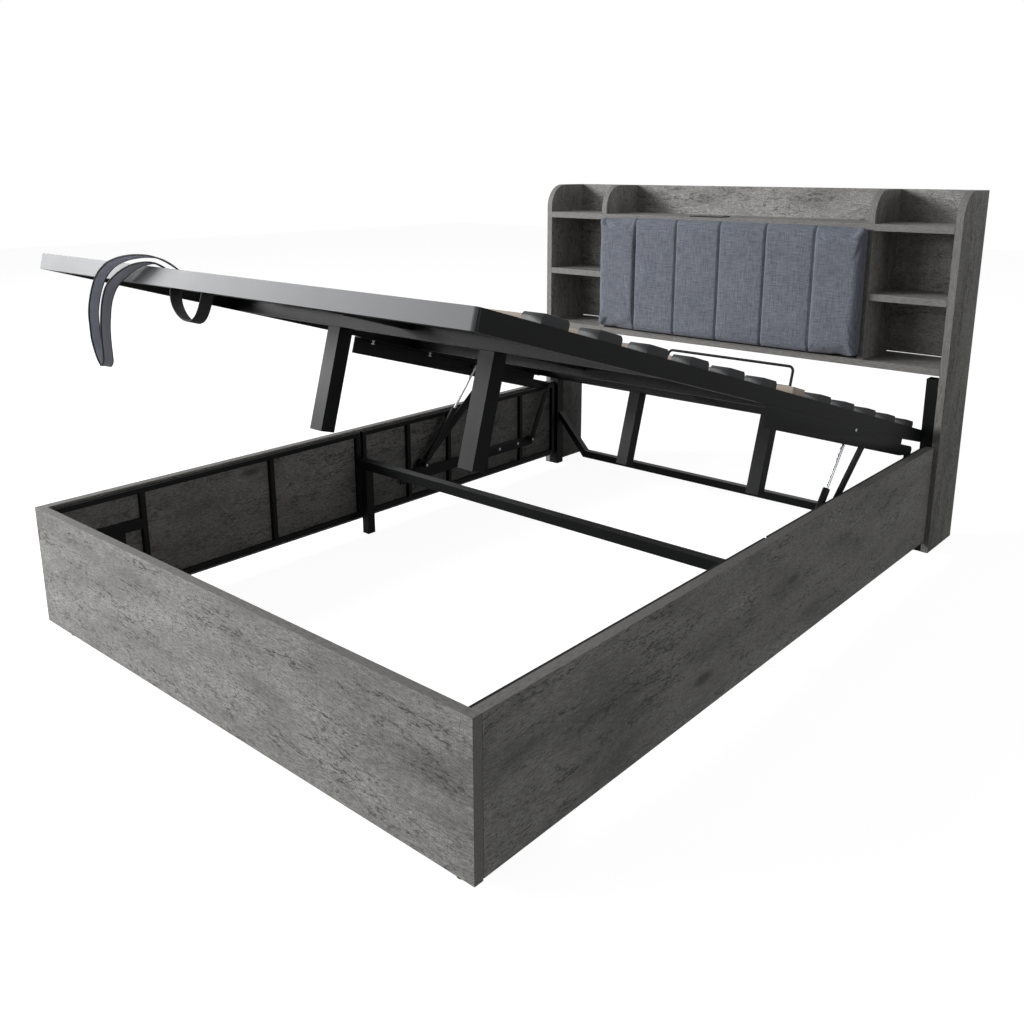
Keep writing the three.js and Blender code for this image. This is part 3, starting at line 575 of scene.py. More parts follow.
@dataclass(frozen=True)
class LinenWeave(Finish):
    """Plain-woven polyester linen in two blue-grey yarns with slubs both ways."""

    relief: float = 0.5
    warp: str = "#525864"
    weft: str = "#81858e"
    # The seam colour is shade painted into the creases of the seams.
    seam_line: str = "#2a2e38"
    # Threads lie 0.7 mm apart; drawn at 1.8 mm, the finest that shows at this distance.
    thread: float = 1.8
    # A slub's width as a share of its length, and how sharply the two yarns part.
    slub: float = 0.05
    parting: float = 0.28
    # The broad unevenness of the cloth: waves per metre, and its darkest and palest tone.
    broad_waves: float = 9.0
    broad_tone: tuple[float, float] = (0.86, 1.12)
    roughness: float = 0.92
    gloss: float = 0.2
    sheen: float = 0.15
    sheen_roughness: float = 0.5
    # The sewn seams: the first one's place and the pitch in metres; then the shade painted into each
    # seam's crease: its dark half and its faded edge in millimetres from the seam, and how dark it is.
    seam_start: float = 0.0
    seam_pitch: float = 0.25
    crease: tuple[float, float] = (0.64, 2.08)
    seam_shade_dark: float = 0.8

    def look(self, tree: Tree) -> tuple[dict, Socket]:
        """Weaves the cloth across X and Z and paints shade into its seams.

        Args:
            tree: the material's tree.

        Returns:
            What the shader's inputs take, and the height of the surface.
        """
        place = add_node(tree, "ShaderNodeTexCoord").outputs["Object"]
        count = 1 / (self.thread * MM)
        upright = self.streaks(tree, place, (count, count, count * self.slub), 2.0, 0.55)
        level = self.streaks(tree, place, (count * self.slub, count, count), 2.0, 0.55)
        woven = add_node(tree, "ShaderNodeMath", {0: upright, 1: level}, operation="SUBTRACT").outputs[0]
        share = add_node(tree, "ShaderNodeMapRange", {"Value": woven, "From Min": -self.parting,
                                                      "From Max": self.parting})
        cloth = add_node(tree, "ShaderNodeMix", {SHARE: share.outputs[0], FIRST: linear(self.warp),
                                                 SECOND: linear(self.weft)}, **COLOUR_MIX)
        broad = add_node(tree, "ShaderNodeTexNoise", {"Vector": place, "Scale": self.broad_waves,
                                                      "Detail": 3.0})
        tone = add_node(tree, "ShaderNodeMapRange", {"Value": broad.outputs[0],
                                                     "To Min": self.broad_tone[0],
                                                     "To Max": self.broad_tone[1]})
        toned = add_node(tree, "ShaderNodeVectorMath", {0: cloth.outputs[MIXED], "Scale": tone.outputs[0]},
                         operation="SCALE")
        colour = add_node(tree, "ShaderNodeMix", {SHARE: self.seams(tree, place), FIRST: toned.outputs[0],
                                                  SECOND: linear(self.seam_line)}, **COLOUR_MIX)
        height = add_node(tree, "ShaderNodeMath", {0: upright, 1: level}, operation="MAXIMUM").outputs[0]
        return {"Base Color": colour.outputs[MIXED], "Roughness": self.roughness,
                "Specular IOR Level": self.gloss, "Sheen Weight": self.sheen,
                "Sheen Roughness": self.sheen_roughness}, height

    def seams(self, tree: Tree, place: Socket) -> Socket:
        """Paints shade into the creases of the sewn seams.

        Args:
            tree: the material's tree.
            place: the place on the cushion.

        Returns:
            How much painted shade the cloth takes, from 0 to 1.
        """
        value = add_node(tree, "ShaderNodeSeparateXYZ", {0: place}).outputs[0]
        half = self.seam_pitch / 2
        for number, operation in ((self.seam_start - half, "SUBTRACT"), (self.seam_pitch, "FLOORED_MODULO"),
                                  (half, "SUBTRACT"), (0.0, "ABSOLUTE")):
            value = add_node(tree, "ShaderNodeMath", {0: value, 1: number}, operation=operation).outputs[0]
        return add_node(tree, "ShaderNodeMapRange", {
            "Value": value, "From Min": self.crease[0] * MM, "From Max": self.crease[1] * MM,
            "To Min": self.seam_shade_dark, "To Max": 0.0}).outputs[0]


@dataclass(frozen=True)
class Webbing(Finish):
    """Woven polyester webbing, ribbed across, with shade painted as a dark band along each side."""

    relief: float = 0.15
    face: str = "#b8bac5"
    # The dark colour of the shade painted along each edge.
    edge_shade: str = "#1b1c1f"
    # Millimetres from rib to rib.
    rib: float = 1.3
    # Shares of the width: each band of painted edge shade, and the blur where it begins.
    edge_share: float = 0.09
    edge_blur: float = 0.03
    # How strongly the ribs shade the face.
    rib_share: float = 0.35
    roughness: float = 0.8
    sheen: float = 0.1

    def look(self, tree: Tree) -> tuple[dict, Socket]:
        """Draws ribs and the painted edge shade by the strap's own UV map, in metres along it.

        Args:
            tree: the material's tree.

        Returns:
            What the shader's inputs take, and the height of the surface.
        """
        uv = add_node(tree, "ShaderNodeUVMap", uv_map=STRAP_MAP).outputs[0]
        across, along, _ = add_node(tree, "ShaderNodeSeparateXYZ", {0: uv}).outputs
        waves = add_node(tree, "ShaderNodeMath", {0: along, 1: math.tau / (self.rib * MM)},
                         operation="MULTIPLY")
        rib = add_node(tree, "ShaderNodeMath", {0: waves.outputs[0]}, operation="SINE").outputs[0]
        off = add_node(tree, "ShaderNodeMath", {0: across, 1: 0.5}, operation="SUBTRACT").outputs[0]
        side = add_node(tree, "ShaderNodeMath", {0: off}, operation="ABSOLUTE").outputs[0]
        start = 0.5 - self.edge_share
        rim = add_node(tree, "ShaderNodeMapRange", {"Value": side, "From Min": start - self.edge_blur,
                                                    "From Max": start})
        both = add_node(tree, "ShaderNodeMix", {SHARE: rim.outputs[0], FIRST: linear(self.face),
                                                SECOND: linear(self.edge_shade)}, **COLOUR_MIX)
        ribbed = add_node(tree, "ShaderNodeMapRange", {"Value": rib, "From Min": -1.0, "To Min": MIDDLE[0],
                                                       "To Max": MIDDLE[1]})
        colour = add_node(tree, "ShaderNodeMix", {SHARE: self.rib_share, FIRST: both.outputs[MIXED],
                                                  SECOND: ribbed.outputs[0]},
                          blend_type="OVERLAY", **COLOUR_MIX)
        return {"Base Color": colour.outputs[MIXED], "Roughness": self.roughness,
                "Sheen Weight": self.sheen}, rib


@dataclass(frozen=True)
class PoplarVeneer(Finish):
    """Pressed poplar plies, sanded bare, with a faint ribbon figure along the slat."""

    relief: float = 0.08
    pale: str = "#d2c6ba"
    dark: str = "#b5a596"
    # Millimetres from one line of pores to the next, and the pores' waves per metre along it.
    pore: float = 1.6
    pore_waves: float = 6.0
    # The ribbon figure's waves per metre along X, Y and Z, and the pores' share beside it.
    ribbon: tuple[float, float, float] = (2.0, 26.0, 26.0)
    pore_share: float = 0.5
    # The values of ribbon and pores together that are pale and dark.
    span: tuple[float, float] = (0.55, 1.0)
    roughness: float = 0.6
    gloss: float = 0.3

    def look(self, tree: Tree) -> tuple[dict, Socket]:
        """Draws pores and ribbons along X.

        Args:
            tree: the material's tree.

        Returns:
            What the shader's inputs take, and the height of the surface.
        """
        place = add_node(tree, "ShaderNodeTexCoord").outputs["Object"]
        count = 1 / (self.pore * MM)
        line = self.streaks(tree, place, (self.pore_waves, count, count), 3.0)
        broad = self.streaks(tree, place, self.ribbon, 4.0)
        both = add_node(tree, "ShaderNodeMath", {0: line, 1: self.pore_share, 2: broad},
                        operation="MULTIPLY_ADD")
        share = add_node(tree, "ShaderNodeMapRange", {"Value": both.outputs[0], "From Min": self.span[0],
                                                      "From Max": self.span[1]})
        colour = add_node(tree, "ShaderNodeMix", {SHARE: share.outputs[0], FIRST: linear(self.pale),
                                                  SECOND: linear(self.dark)}, **COLOUR_MIX)
        return {"Base Color": colour.outputs[MIXED], "Roughness": self.roughness,
                "Specular IOR Level": self.gloss}, line


class Finishes:
    """Every material of the bed, made once."""

    def __init__(self) -> None:
        """Builds the materials."""
        self.oak = {axis: WeatheredOakLaminate(f"weathered_oak_laminate_{axis.name.lower()}",
                                               grain=axis).build() for axis in Axis}
        self.coat = PowderCoat("black_powder_coat").build()
        # Painted reflection: a pale grey coat that stands in for the studio light reflected by the black
        # rim's foot face.
        self.painted_reflection_coat = PowderCoat("pale_grey_powder_coat", colour="#747577", clouded="#7b7c7e",
                                    roughness=0.45, gloss=0.14).build()
        low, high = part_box("headboard_cushion")
        pitch = (high[0] - low[0]) / CHANNELS
        self.linen = LinenWeave("blue_grey_linen_weave", seam_start=low[0] + pitch,
                                seam_pitch=pitch).build()
        self.webbing = Webbing("grey_polyester_webbing").build()
        self.black_webbing = Webbing("black_polyester_webbing", face="#1c1d20").build()
        self.poplar = PoplarVeneer("pressed_poplar_slat").build()
        self.plastic = MouldedPlastic("black_moulded_polypropylene").build()
        self.gloss = MouldedPlastic("black_gloss_abs", colour="#0c0c0d", clouded="#151517",
                                    roughness=0.2).build()
        self.zinc = BareMetal("zinc_plated_steel", roughness=0.38).build()
        self.chrome = BareMetal("hard_chromed_steel", colour="#d5d7da", clouded="#c2c5c9",
                                roughness=0.16).build()


# Copies of the frame's own nodes, with rounded edges


def rounded_copy(name: str, node: str, finish: Material, width: float, hard: float = 35.0) -> Piece:
    """Copies a CAD node's mesh, merges its doubled vertices and rounds its hard edges.

    Args:
        name: the new piece's name.
        node: the CAD node.
        finish: its material.
        width: the width of the rounding.
        hard: the angle in degrees from which an edge is rounded.

    Returns:
        The new piece, which replaces the node.
    """
    work = bmesh.new()
    work.from_mesh(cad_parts[node].data)
    bmesh.ops.remove_doubles(work, verts=work.verts, dist=0.01 * MM)
    piece = new_object(name, plain(work, name), finish)
    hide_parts(node)
    bevel = piece.modifiers.new("soft_edges", "BEVEL")
    bevel.width = width
    bevel.segments = 1
    bevel.limit_method = "ANGLE"
    bevel.angle_limit = math.radians(hard)
    applied(piece)
    shade(piece.data, FLAT_CREASE)
    return piece


def dress(piece: Piece, body: str) -> None:
    """Sets the body that a finished piece rides on and logs its faces.

    Args:
        piece: the finished piece.
        body: the CAD body.
    """
    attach(piece, body)
    LOG.info("%s: %d faces on %s", piece.name, len(piece.data.polygons), body)


@dataclass
class Boards:
    """The laminated boards of base and headboard, with soft edges and banded rims."""

    finishes: Finishes
    edge: float = 0.8 * MM
    # Node to the axis across its broad face and the axis of its grain.
    layout: dict[str, tuple[Axis, Axis]] = field(default_factory=lambda: {
        "foot_panel": (Axis.Y, Axis.X), "side_rail": (Axis.X, Axis.Y),
        "headboard_side": (Axis.X, Axis.Z), "upper_shelf": (Axis.Z, Axis.X),
        "bottom_board": (Axis.Z, Axis.X), "middle_shelf": (Axis.Z, Axis.X),
        "upper_divider": (Axis.X, Axis.Z), "lower_divider": (Axis.X, Axis.Z),
        "back_panel": (Axis.Y, Axis.X)})

    def build(self) -> None:
        """Builds every board."""
        for stem, (across, grain) in self.layout.items():
            for node in nodes_of(stem):
                board = rounded_copy(f"{node}_board", node, self.finishes.oak[grain], self.edge)
                self.mark_edges(board.data, across)
                dress(board, "base")

    def mark_edges(self, mesh: Mesh, across: Axis) -> None:
        """Marks the faces that carry edge banding.

        Args:
            mesh: the board's mesh.
            across: the axis across its broad face.
        """
        mark = mesh.attributes.new(EDGE_MARK, "FLOAT", "FACE")
        values = [0.0 if abs(face.normal[across.value]) > 0.9 else 1.0 for face in mesh.polygons]
        mark.data.foreach_set("value", values)


@dataclass
class Steelwork:
    """The powder-coated tubes and channels, and the moving linkage."""

    finishes: Finishes
    # Body to the rounding of its steel and the stems of its nodes.
    coated: dict[str, tuple[float, tuple[str, ...]]] = field(default_factory=lambda: {
        "base": (0.7 * MM, ("rail_frame_foot", "rail_frame_head", "cross_beam", "mid_leg", "head_post",
                            "head_brace", "lift_bar")),
        "platform": (0.7 * MM, ("platform_frame", "platform_leg", "lift_arm")),
        "front_links": (0.5 * MM, ("front_link",)), "rear_links": (0.5 * MM, ("rear_link",)),
        "strut_cylinders": (0.5 * MM, ("gas_cylinder",))})
    rod_edge: float = 0.4 * MM
    # Degrees from which a steel edge is rounded, so that the tubes' own facets stay.
    hard: float = 40.0
    # The rim's foot face, which takes the painted reflection, lies within this depth of the platform's end.
    rim_depth: float = 4 * MM

    def build(self) -> None:
        """Builds the rounded steel pieces and the chromed rods."""
        for body, (edge, stems) in self.coated.items():
            for node in nodes_of(*stems):
                steel = rounded_copy(f"{node}_steel", node, self.finishes.coat, edge, self.hard)
                if node == "platform_frame":
                    # The rim's foot face takes a painted reflection.
                    self.paint_reflection_on_foot_face(steel.data)
                dress(steel, body)
        for node in nodes_of("gas_rod"):
            rod = rounded_copy(f"{node}_chrome", node, self.finishes.chrome, self.rod_edge, self.hard)
            dress(rod, "strut_rods")

    def paint_reflection_on_foot_face(self, mesh: Mesh) -> None:
        """Paints a reflection onto the outer face of the platform's foot rim, as a pale grey coat.

        Args:
            mesh: the platform frame's mesh, in the row frame.
        """
        mesh.materials.append(self.finishes.painted_reflection_coat)
        lifted = deck_matrix().inverted()
        outward = deck_matrix().to_3x3() @ Vector((0, -1, 0))
        for face in mesh.polygons:
            if (lifted @ face.center).y < self.rim_depth and face.normal.dot(outward) > 0.6:
                face.material_index = 1


# Rows of repeated pieces, made with geometry nodes


class RowTree:
    """A node tree that repeats one piece along a straight row, with one place left out."""

    def __init__(self) -> None:
        """Builds the tree and keeps its input identifiers."""
        tree = bpy.data.node_groups.new("row_of_pieces", "GeometryNodeTree")
        kinds = {"Piece": "NodeSocketObject", "Count": "NodeSocketInt", "Start": "NodeSocketVector",
                 "Step": "NodeSocketVector", "Left Out": "NodeSocketInt", "Finish": "NodeSocketMaterial"}
        self.keys = {label: tree.interface.new_socket(label, in_out="INPUT", socket_type=kind).identifier
                     for label, kind in kinds.items()}
        tree.interface.new_socket("Geometry", in_out="OUTPUT", socket_type="NodeSocketGeometry")
        given = add_node(tree, "NodeGroupInput").outputs
        line = add_node(tree, "GeometryNodeMeshLine", {"Count": given["Count"],
                                                       "Start Location": given["Start"],
                                                       "Offset": given["Step"]}, mode="OFFSET")
        index = add_node(tree, "GeometryNodeInputIndex").outputs[0]
        gone = add_node(tree, "FunctionNodeCompare", {2: index, 3: given["Left Out"]}, data_type="INT",
                        operation="EQUAL")
        kept = add_node(tree, "GeometryNodeDeleteGeometry", {"Geometry": line.outputs[0],
                                                             "Selection": gone.outputs[0]}, domain="POINT")
        shape = add_node(tree, "GeometryNodeObjectInfo", {"Object": given["Piece"]})
        placed = add_node(tree, "GeometryNodeInstanceOnPoints", {"Points": kept.outputs[0],
                                                                 "Instance": shape.outputs["Geometry"]})
        real = add_node(tree, "GeometryNodeRealizeInstances", {"Geometry": placed.outputs[0]})
        painted = add_node(tree, "GeometryNodeSetMaterial", {"Geometry": real.outputs[0],
                                                             "Material": given["Finish"]})
        add_node(tree, "NodeGroupOutput", {0: painted.outputs[0]})
        self.tree = tree

    def row(self, name: str, piece: Piece, count: int, start: Sequence[float], step: Sequence[float],
            finish: Material, left_out: int = -1) -> Piece:
        """Makes a row of copies of a piece as one plain mesh.

        Args:
            name: the row's name.
            piece: the piece to repeat, modelled about the origin.
            count: how many places the row has.
            start: the first place.
            step: from one place to the next.
            finish: the row's material.
            left_out: the number of the place left empty, or -1.

        Returns:
            The row, with its modifier applied.
        """
        holder = new_object(name, bpy.data.meshes.new(name))
        modifier = holder.modifiers.new("row", "NODES")
        modifier.node_group = self.tree
        values = {"Piece": piece, "Count": count, "Start": tuple(start), "Step": tuple(step),
                  "Left Out": left_out, "Finish": finish}
        for label, value in values.items():
            modifier[self.keys[label]] = value
        return applied(holder)


def joined(name: str, rows: Iterable[Piece], matrix: Matrix, finish: Material) -> Piece:
    """Joins several rows into one piece and puts it in the row frame.

    Args:
        name: the joined piece's name.
        rows: the rows, which are removed.
        matrix: from the rows' axes to the row frame.
        finish: the piece's material.

    Returns:
        The new piece.
    """
    work = bmesh.new()
    for row in rows:
        mesh = row.data
        work.from_mesh(mesh)
        bpy.data.objects.remove(row)
        bpy.data.meshes.remove(mesh)
    mesh = plain(work, name)
    mesh.transform(matrix)
    shade(mesh, TURNED_CREASE)
    return new_object(name, mesh, finish)


def bevelled(work: bmesh.types.BMesh, name: str, radius: float, segments: int) -> Piece:
    """Rounds every edge of a working mesh and makes a plain piece of it.

    Args:
        work: the working mesh, which is freed.
        name: the piece's name.
        radius: the rounding's radius.
        segments: steps round each edge.

    Returns:
        The new piece.
    """
    bmesh.ops.bevel(work, geom=work.edges[:], offset=radius, segments=segments, profile=0.5, affect="EDGES")
    return new_object(name, plain(work, name))


def rounded_box(name: str, low: Sequence[float], high: Sequence[float], radius: float,
                segments: int = 2) -> Piece:
    """Makes a box with rounded edges as a plain piece.

    Args:
        name: the piece's name.
        low: its lowest corner.
        high: its highest corner.
        radius: its edges' radius.
        segments: steps round each edge.

    Returns:
        The new piece.
    """
    work = bmesh.new()
    bmesh.ops.create_cube(work, size=1.0)
    middle = (Vector(low) + Vector(high)) / 2
    size = Vector(high) - Vector(low)
    for vertex in work.verts:
        vertex.co = Vector(a * b for a, b in zip(vertex.co, size)) + middle
    return bevelled(work, name, radius, segments)


def turned(name: str, profile: Sequence[tuple[float, float]], sides: int, sideways: bool = False) -> Piece:
    """Turns a profile of radii and heights round the Z axis.

    Args:
        name: the piece's name.
        profile: radius and height pairs in millimetres, from axis to axis.
        sides: how many sides the piece has.
        sideways: whether it is laid along the X axis then.

    Returns:
        The new piece.
    """
    points, faces = [], []
    for radius, height in profile:
        for side in range(sides):
            angle = math.tau * side / sides
            points.append((radius * MM * math.cos(angle), radius * MM * math.sin(angle), height * MM))
    for ring in range(len(profile) - 1):
        for side in range(sides):
            a, b = ring * sides + side, ring * sides + (side + 1) % sides
            faces.append((a, b, b + sides, a + sides))
    mesh = mesh_from(name, points, faces)
    if sideways:
        mesh.transform(Matrix.Rotation(math.pi / 2, 4, "Y"))
    return new_object(name, mesh)


@dataclass
class SlattedDeck:
    """The platform's wooden slats and the plastic caps that hold their ends."""

    finishes: Finishes
    rows: RowTree
    count: int = 12
    width: float = 68 * MM
    thick: float = 12 * MM
    stop_thick: float = 18 * MM
    half_span: float = 727 * MM
    round: float = 1.5 * MM
    cap_length: float = 47 * MM
    cap_width: float = 77 * MM
    cap_height: float = 19 * MM
    cap_slope: float = 6 * MM
    cap_round: float = 0.6 * MM
    # A cap's floor under the slat, and the gap between the rim and what lies on it.
    floor: float = 3 * MM
    seat: float = 0.3 * MM

    def build(self) -> None:
        """Builds slats and caps and lets them stand for the slat nodes."""
        first, step = (0, SLAT_FIRST, self.seat), (0, SLAT_PITCH, 0)
        half, inner = self.width / 2, self.half_span - self.floor
        board = rounded_box("slat_pattern", (-inner, -half, self.floor),
                            (inner, half, self.floor + self.thick), self.round)
        slats = self.rows.row("slats", board, self.count, first, step, self.finishes.poplar, STOP_SLAT)
        stop = rounded_box("stop_pattern", (-self.half_span, -half, 0),
                           (self.half_span, half, self.stop_thick), self.round)
        place = (0, SLAT_FIRST + STOP_SLAT * SLAT_PITCH, self.seat)
        lone = self.rows.row("stop_slat", stop, 1, place, step, self.finishes.poplar)
        wood = joined("slat_boards", [slats, lone], deck_matrix(), self.finishes.poplar)
        cap = self.cap_pattern()
        ends = []
        for side in ("right", "left"):
            ends.append(self.rows.row(f"caps_{side}", cap, self.count, first, step, self.finishes.plastic,
                                      STOP_SLAT))
            cap.data.transform(HALF_TURN)
        caps = joined("slat_caps", ends, deck_matrix(), self.finishes.plastic)
        for pattern in (board, stop, cap):
            bpy.data.objects.remove(pattern)
        nodes = nodes_of("slat_") + ["stop_slat"]
        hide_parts(*nodes)
        dress(wood, "platform")
        dress(caps, "platform")

    def cap_pattern(self) -> Piece:
        """Makes the right-hand cap: a sleeve with sloped shoulders and a raised middle.

        Returns:
            The cap.
        """
        outer, inner = self.half_span, self.half_span - self.cap_length
        half, top, slope = self.cap_width / 2, self.cap_height, self.cap_slope
        outline = [(-half, 0), (half, 0), (half, top - slope), (half - slope, top), (slope - half, top),
                   (-half, top - slope)]
        points = [(x, y, z) for x in (inner, outer) for y, z in outline]
        count = len(outline)
        faces = [tuple(range(count)), tuple(range(count, 2 * count))]
        faces += [(i, (i + 1) % count, (i + 1) % count + count, i + count) for i in range(count)]
        work = bmesh.new()
        work.from_mesh(mesh_from("cap_pattern", points, faces))
        return bevelled(work, "cap_pattern", self.cap_round, 1)


@dataclass
class Fasteners:
    """Bolts and screws of the lift arms and lift bars, and the nuts on the pins."""

    finishes: Finishes
    rows: RowTree
    # Profiles as radius and height pairs, in millimetres.
    bolt: tuple = ((0, 0), (6, 0), (6, -2.5), (3, -3), (3, -9), (7, -9.4), (7, -13), (0, -13.6))
    arm_screw: tuple = ((0, 2.4), (3, 2.1), (4.8, 1), (5.2, 0), (0, -0.2))
    bar_screw: tuple = ((0, 2.6), (3, 2.3), (5.2, 1.2), (5.8, 0), (0, -0.2))
    nut: tuple = ((0, 3.4), (3.5, 2.8), (5, 1.2), (5.4, 0), (7.6, -0.1), (7.6, -1.2), (0, -1.2))
    # Rows in millimetres: the first place on the right, how many there are and the pitch. Those
    # of the arms are on the platform's own axes, those of the bars in the CAD frame.
    bolt_rows: tuple = (((713, 1090, -41.8), 3, 267),)
    arm_rows: tuple = (((733, 1590, -50), 1, 0),)
    bar_rows: tuple = (((736.6, 1242, 138), 1, 0), ((736.6, 1749, 138), 2, 108))
    # Pins in millimetres, along and up: of the strut and the rear link in the CAD frame, and of
    # the front link on the platform's own axes. The two links' pin heads lie at pin_x.
    strut_pin: tuple[float, float] = (1322, 178)
    rear_pin: tuple[float, float] = (1925, 145)
    front_pin: tuple[float, float] = (1690, -72)
    pin_x: float = 716.3

    def build(self) -> None:
        """Builds the fasteners of the arms, the bars and the pins."""
        bolt = turned("bolt_pattern", self.bolt, 12)
        screw = turned("arm_screw_pattern", self.arm_screw, 14, True)
        arms = self.both_sides(bolt, self.bolt_rows) + self.both_sides(screw, self.arm_rows)
        dress(joined("lift_arm_bolts", arms, deck_matrix(), self.finishes.zinc), "platform")
        head = turned("screw_pattern", self.bar_screw, 14, True)
        head.data.transform(HALF_TURN)
        bars, shift = self.both_sides(head, self.bar_rows), Matrix.Translation((0, -HALF_LENGTH, 0))
        dress(joined("lift_bar_screws", bars, shift, self.finishes.zinc), "base")
        bar_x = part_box("lift_bar_right")[0].x / MM
        top = deck_matrix() @ Vector((0, self.front_pin[0] * MM, self.front_pin[1] * MM)) / MM
        middle = HALF_LENGTH / MM
        self.nuts("base", [(bar_x, self.strut_pin[0] - middle, self.strut_pin[1]),
                           (self.pin_x, self.rear_pin[0] - middle, self.rear_pin[1])])
        self.nuts("platform", [(self.pin_x, top.y, top.z)])

    def nuts(self, body: str, places: Sequence[tuple[float, float, float]]) -> None:
        """Builds the bright domed nuts on the heads of a body's pins.

        Args:
            body: the body.
            places: the nuts' places on the right, in the row frame, in millimetres.
        """
        nut = turned("nut_pattern", self.nut, 18, True)
        nut.data.transform(HALF_TURN)
        rows = self.both_sides(nut, [(place, 1, 0) for place in places])
        dress(joined(f"pin_nuts_{body}", rows, Matrix(), self.finishes.zinc), body)

    def both_sides(self, pattern: Piece, rows: Sequence) -> list[Piece]:
        """Makes rows of a fastener on the right and, turned half round, on the left.

        Args:
            pattern: the fastener as it stands on the right, which is removed.
            rows: each row's first place on the right, its count and its pitch, in millimetres.

        Returns:
            The rows of both sides.
        """
        made = []
        for side in (1, -1):
            for (x, y, z), count, pitch in rows:
                made.append(self.rows.row("fasteners", pattern, count, (side * x * MM, y * MM, z * MM),
                                          (0, pitch * MM, 0), self.finishes.zinc))
            pattern.data.transform(HALF_TURN)
        bpy.data.objects.remove(pattern)
        return made


# Soft and bent pieces


@dataclass
class Cushion:
    """The padded board on the headboard: foam under linen, sewn into upright channels."""

    finishes: Finishes
    voxel: float = 6.5 * MM
    edge: float = 20 * MM
    # How far the pad starts inside its CAD box at the front, and as a share of that elsewhere.
    shrink: float = 5.0 * MM
    inset_share: float = 0.6
    # The simulation: its pressure, its length in frames and how far a point may move.
    pressure: float = 4.0
    frames: int = 20
    most: float = 7.0 * MM
    # From the back: how much is held, where the seams begin, and where the sewing does and its ease.
    held: float = 3 * MM
    sewn_from: float = 12 * MM
    flat: float = 10 * MM
    ease: float = 18 * MM
    swell_reach: float = 40 * MM
    # The groove of a seam, the puckers beside it and the broad unevenness of the cloth.
    seam_depth: float = 5.5 * MM
    seam_width: float = 4.5 * MM
    pucker: float = 1.2 * MM
    pucker_reach: float = 22 * MM
    broad: float = 0.8 * MM
    # Waves per metre along X, the slice of the noise, and waves per metre along Z.
    pucker_noise: tuple[float, float, float] = (30, 3.1, 75)
    broad_noise: tuple[float, float, float] = (9, 7.7, 6)

    def __post_init__(self) -> None:
        """Measures the CAD solid and places the seams."""
        self.low, self.high = (Vector(corner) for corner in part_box("headboard_cushion"))
        wide = self.high.x - self.low.x
        self.seams = [self.low.x + wide * i / CHANNELS for i in range(1, CHANNELS)]

    def build(self) -> None:
        """Builds the cushion and lets it stand for its CAD solid."""
        inset = Vector((self.shrink * self.inset_share, 0, self.shrink * self.inset_share))
        start = rounded_box("headboard_cushion_pad", self.low + inset + Vector((0, self.shrink, 0)),
                            self.high - inset, self.edge, 4)
        remesh = start.modifiers.new("remesh", "REMESH")
        remesh.mode = "VOXEL"
        remesh.voxel_size = self.voxel
        applied(start)
        self.simulate(start)
        smooth = start.modifiers.new("smooth", "SUBSURF")
        smooth.levels = smooth.render_levels = 1
        applied(start)
        self.sew(start.data)
        tidy(start.data)
        start.data.shade_smooth()
        start.data.materials.clear()
        start.data.materials.append(self.finishes.linen)
        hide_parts("headboard_cushion")
        dress(start, "base")

    def nearest_seam(self, x: float) -> float:
        """Returns the distance from x to the nearest sewn seam."""
        return min(abs(x - seam) for seam in self.seams)

    def simulate(self, pad: Piece) -> None:
        """Blows the cover up over its foam, held at the back and along the seams.

        Args:
            pad: the pad, whose mesh takes the result.
        """
        mesh = pad.data
        start = [vertex.co.copy() for vertex in mesh.vertices]
        group = pad.vertex_groups.new(name="held")
        back = [v.index for v in mesh.vertices if v.co.y > self.high.y - self.held]
        seam_line = [v.index for v in mesh.vertices
                if self.nearest_seam(v.co.x) < 0.6 * self.voxel and v.co.y < self.high.y - self.sewn_from]
        group.add(back + seam_line, 1.0, "REPLACE")
        cloth = pad.modifiers.new("cover", "CLOTH")
        settings = {"vertex_group_mass": "held", "quality": 5, "mass": 0.3, "tension_stiffness": 15,
                    "compression_stiffness": 15, "bending_stiffness": 0.5, "use_pressure": True,
                    "uniform_pressure_force": self.pressure}
        for name, value in settings.items():
            setattr(cloth.settings, name, value)
        cloth.settings.effector_weights.gravity = 0.0
        cloth.point_cache.frame_start = 1
        cloth.point_cache.frame_end = self.frames
        scene = bpy.context.scene
        for number in range(1, self.frames + 1):
            scene.frame_set(number)
        graph = bpy.context.evaluated_depsgraph_get()
        result = bpy.data.meshes.new_from_object(pad.evaluated_get(graph))
        pad.modifiers.clear()
        for vertex, was, now in zip(mesh.vertices, start, result.vertices):
            move = now.co - was
            if move.length > self.most:
                move *= self.most / move.length
            vertex.co = was + move
        bpy.data.meshes.remove(result)
        scene.frame_set(1)

    def sew(self, mesh: Mesh) -> None:
        """Sinks the seams and puckers the cloth beside them.

        Args:
            mesh: the pad's mesh, changed in place.
        """
        back = self.high.y - self.flat
        for vertex in mesh.vertices:
            place = vertex.co
            if place.y < back:
                away = self.nearest_seam(place.x)
                front = min((back - place.y) / self.ease, 1.0)
                fold, wave = (noise.noise(Vector((place.x * x, level, place.z * z)))
                              for x, level, z in (self.pucker_noise, self.broad_noise))
                groove = self.seam_depth * math.exp(-((away / self.seam_width) ** 2))
                pull = math.exp(-((away / self.pucker_reach) ** 2)) * fold * self.pucker
                place.y += (groove + pull + wave * self.broad) * front
            place.y = min(place.y, self.high.y)


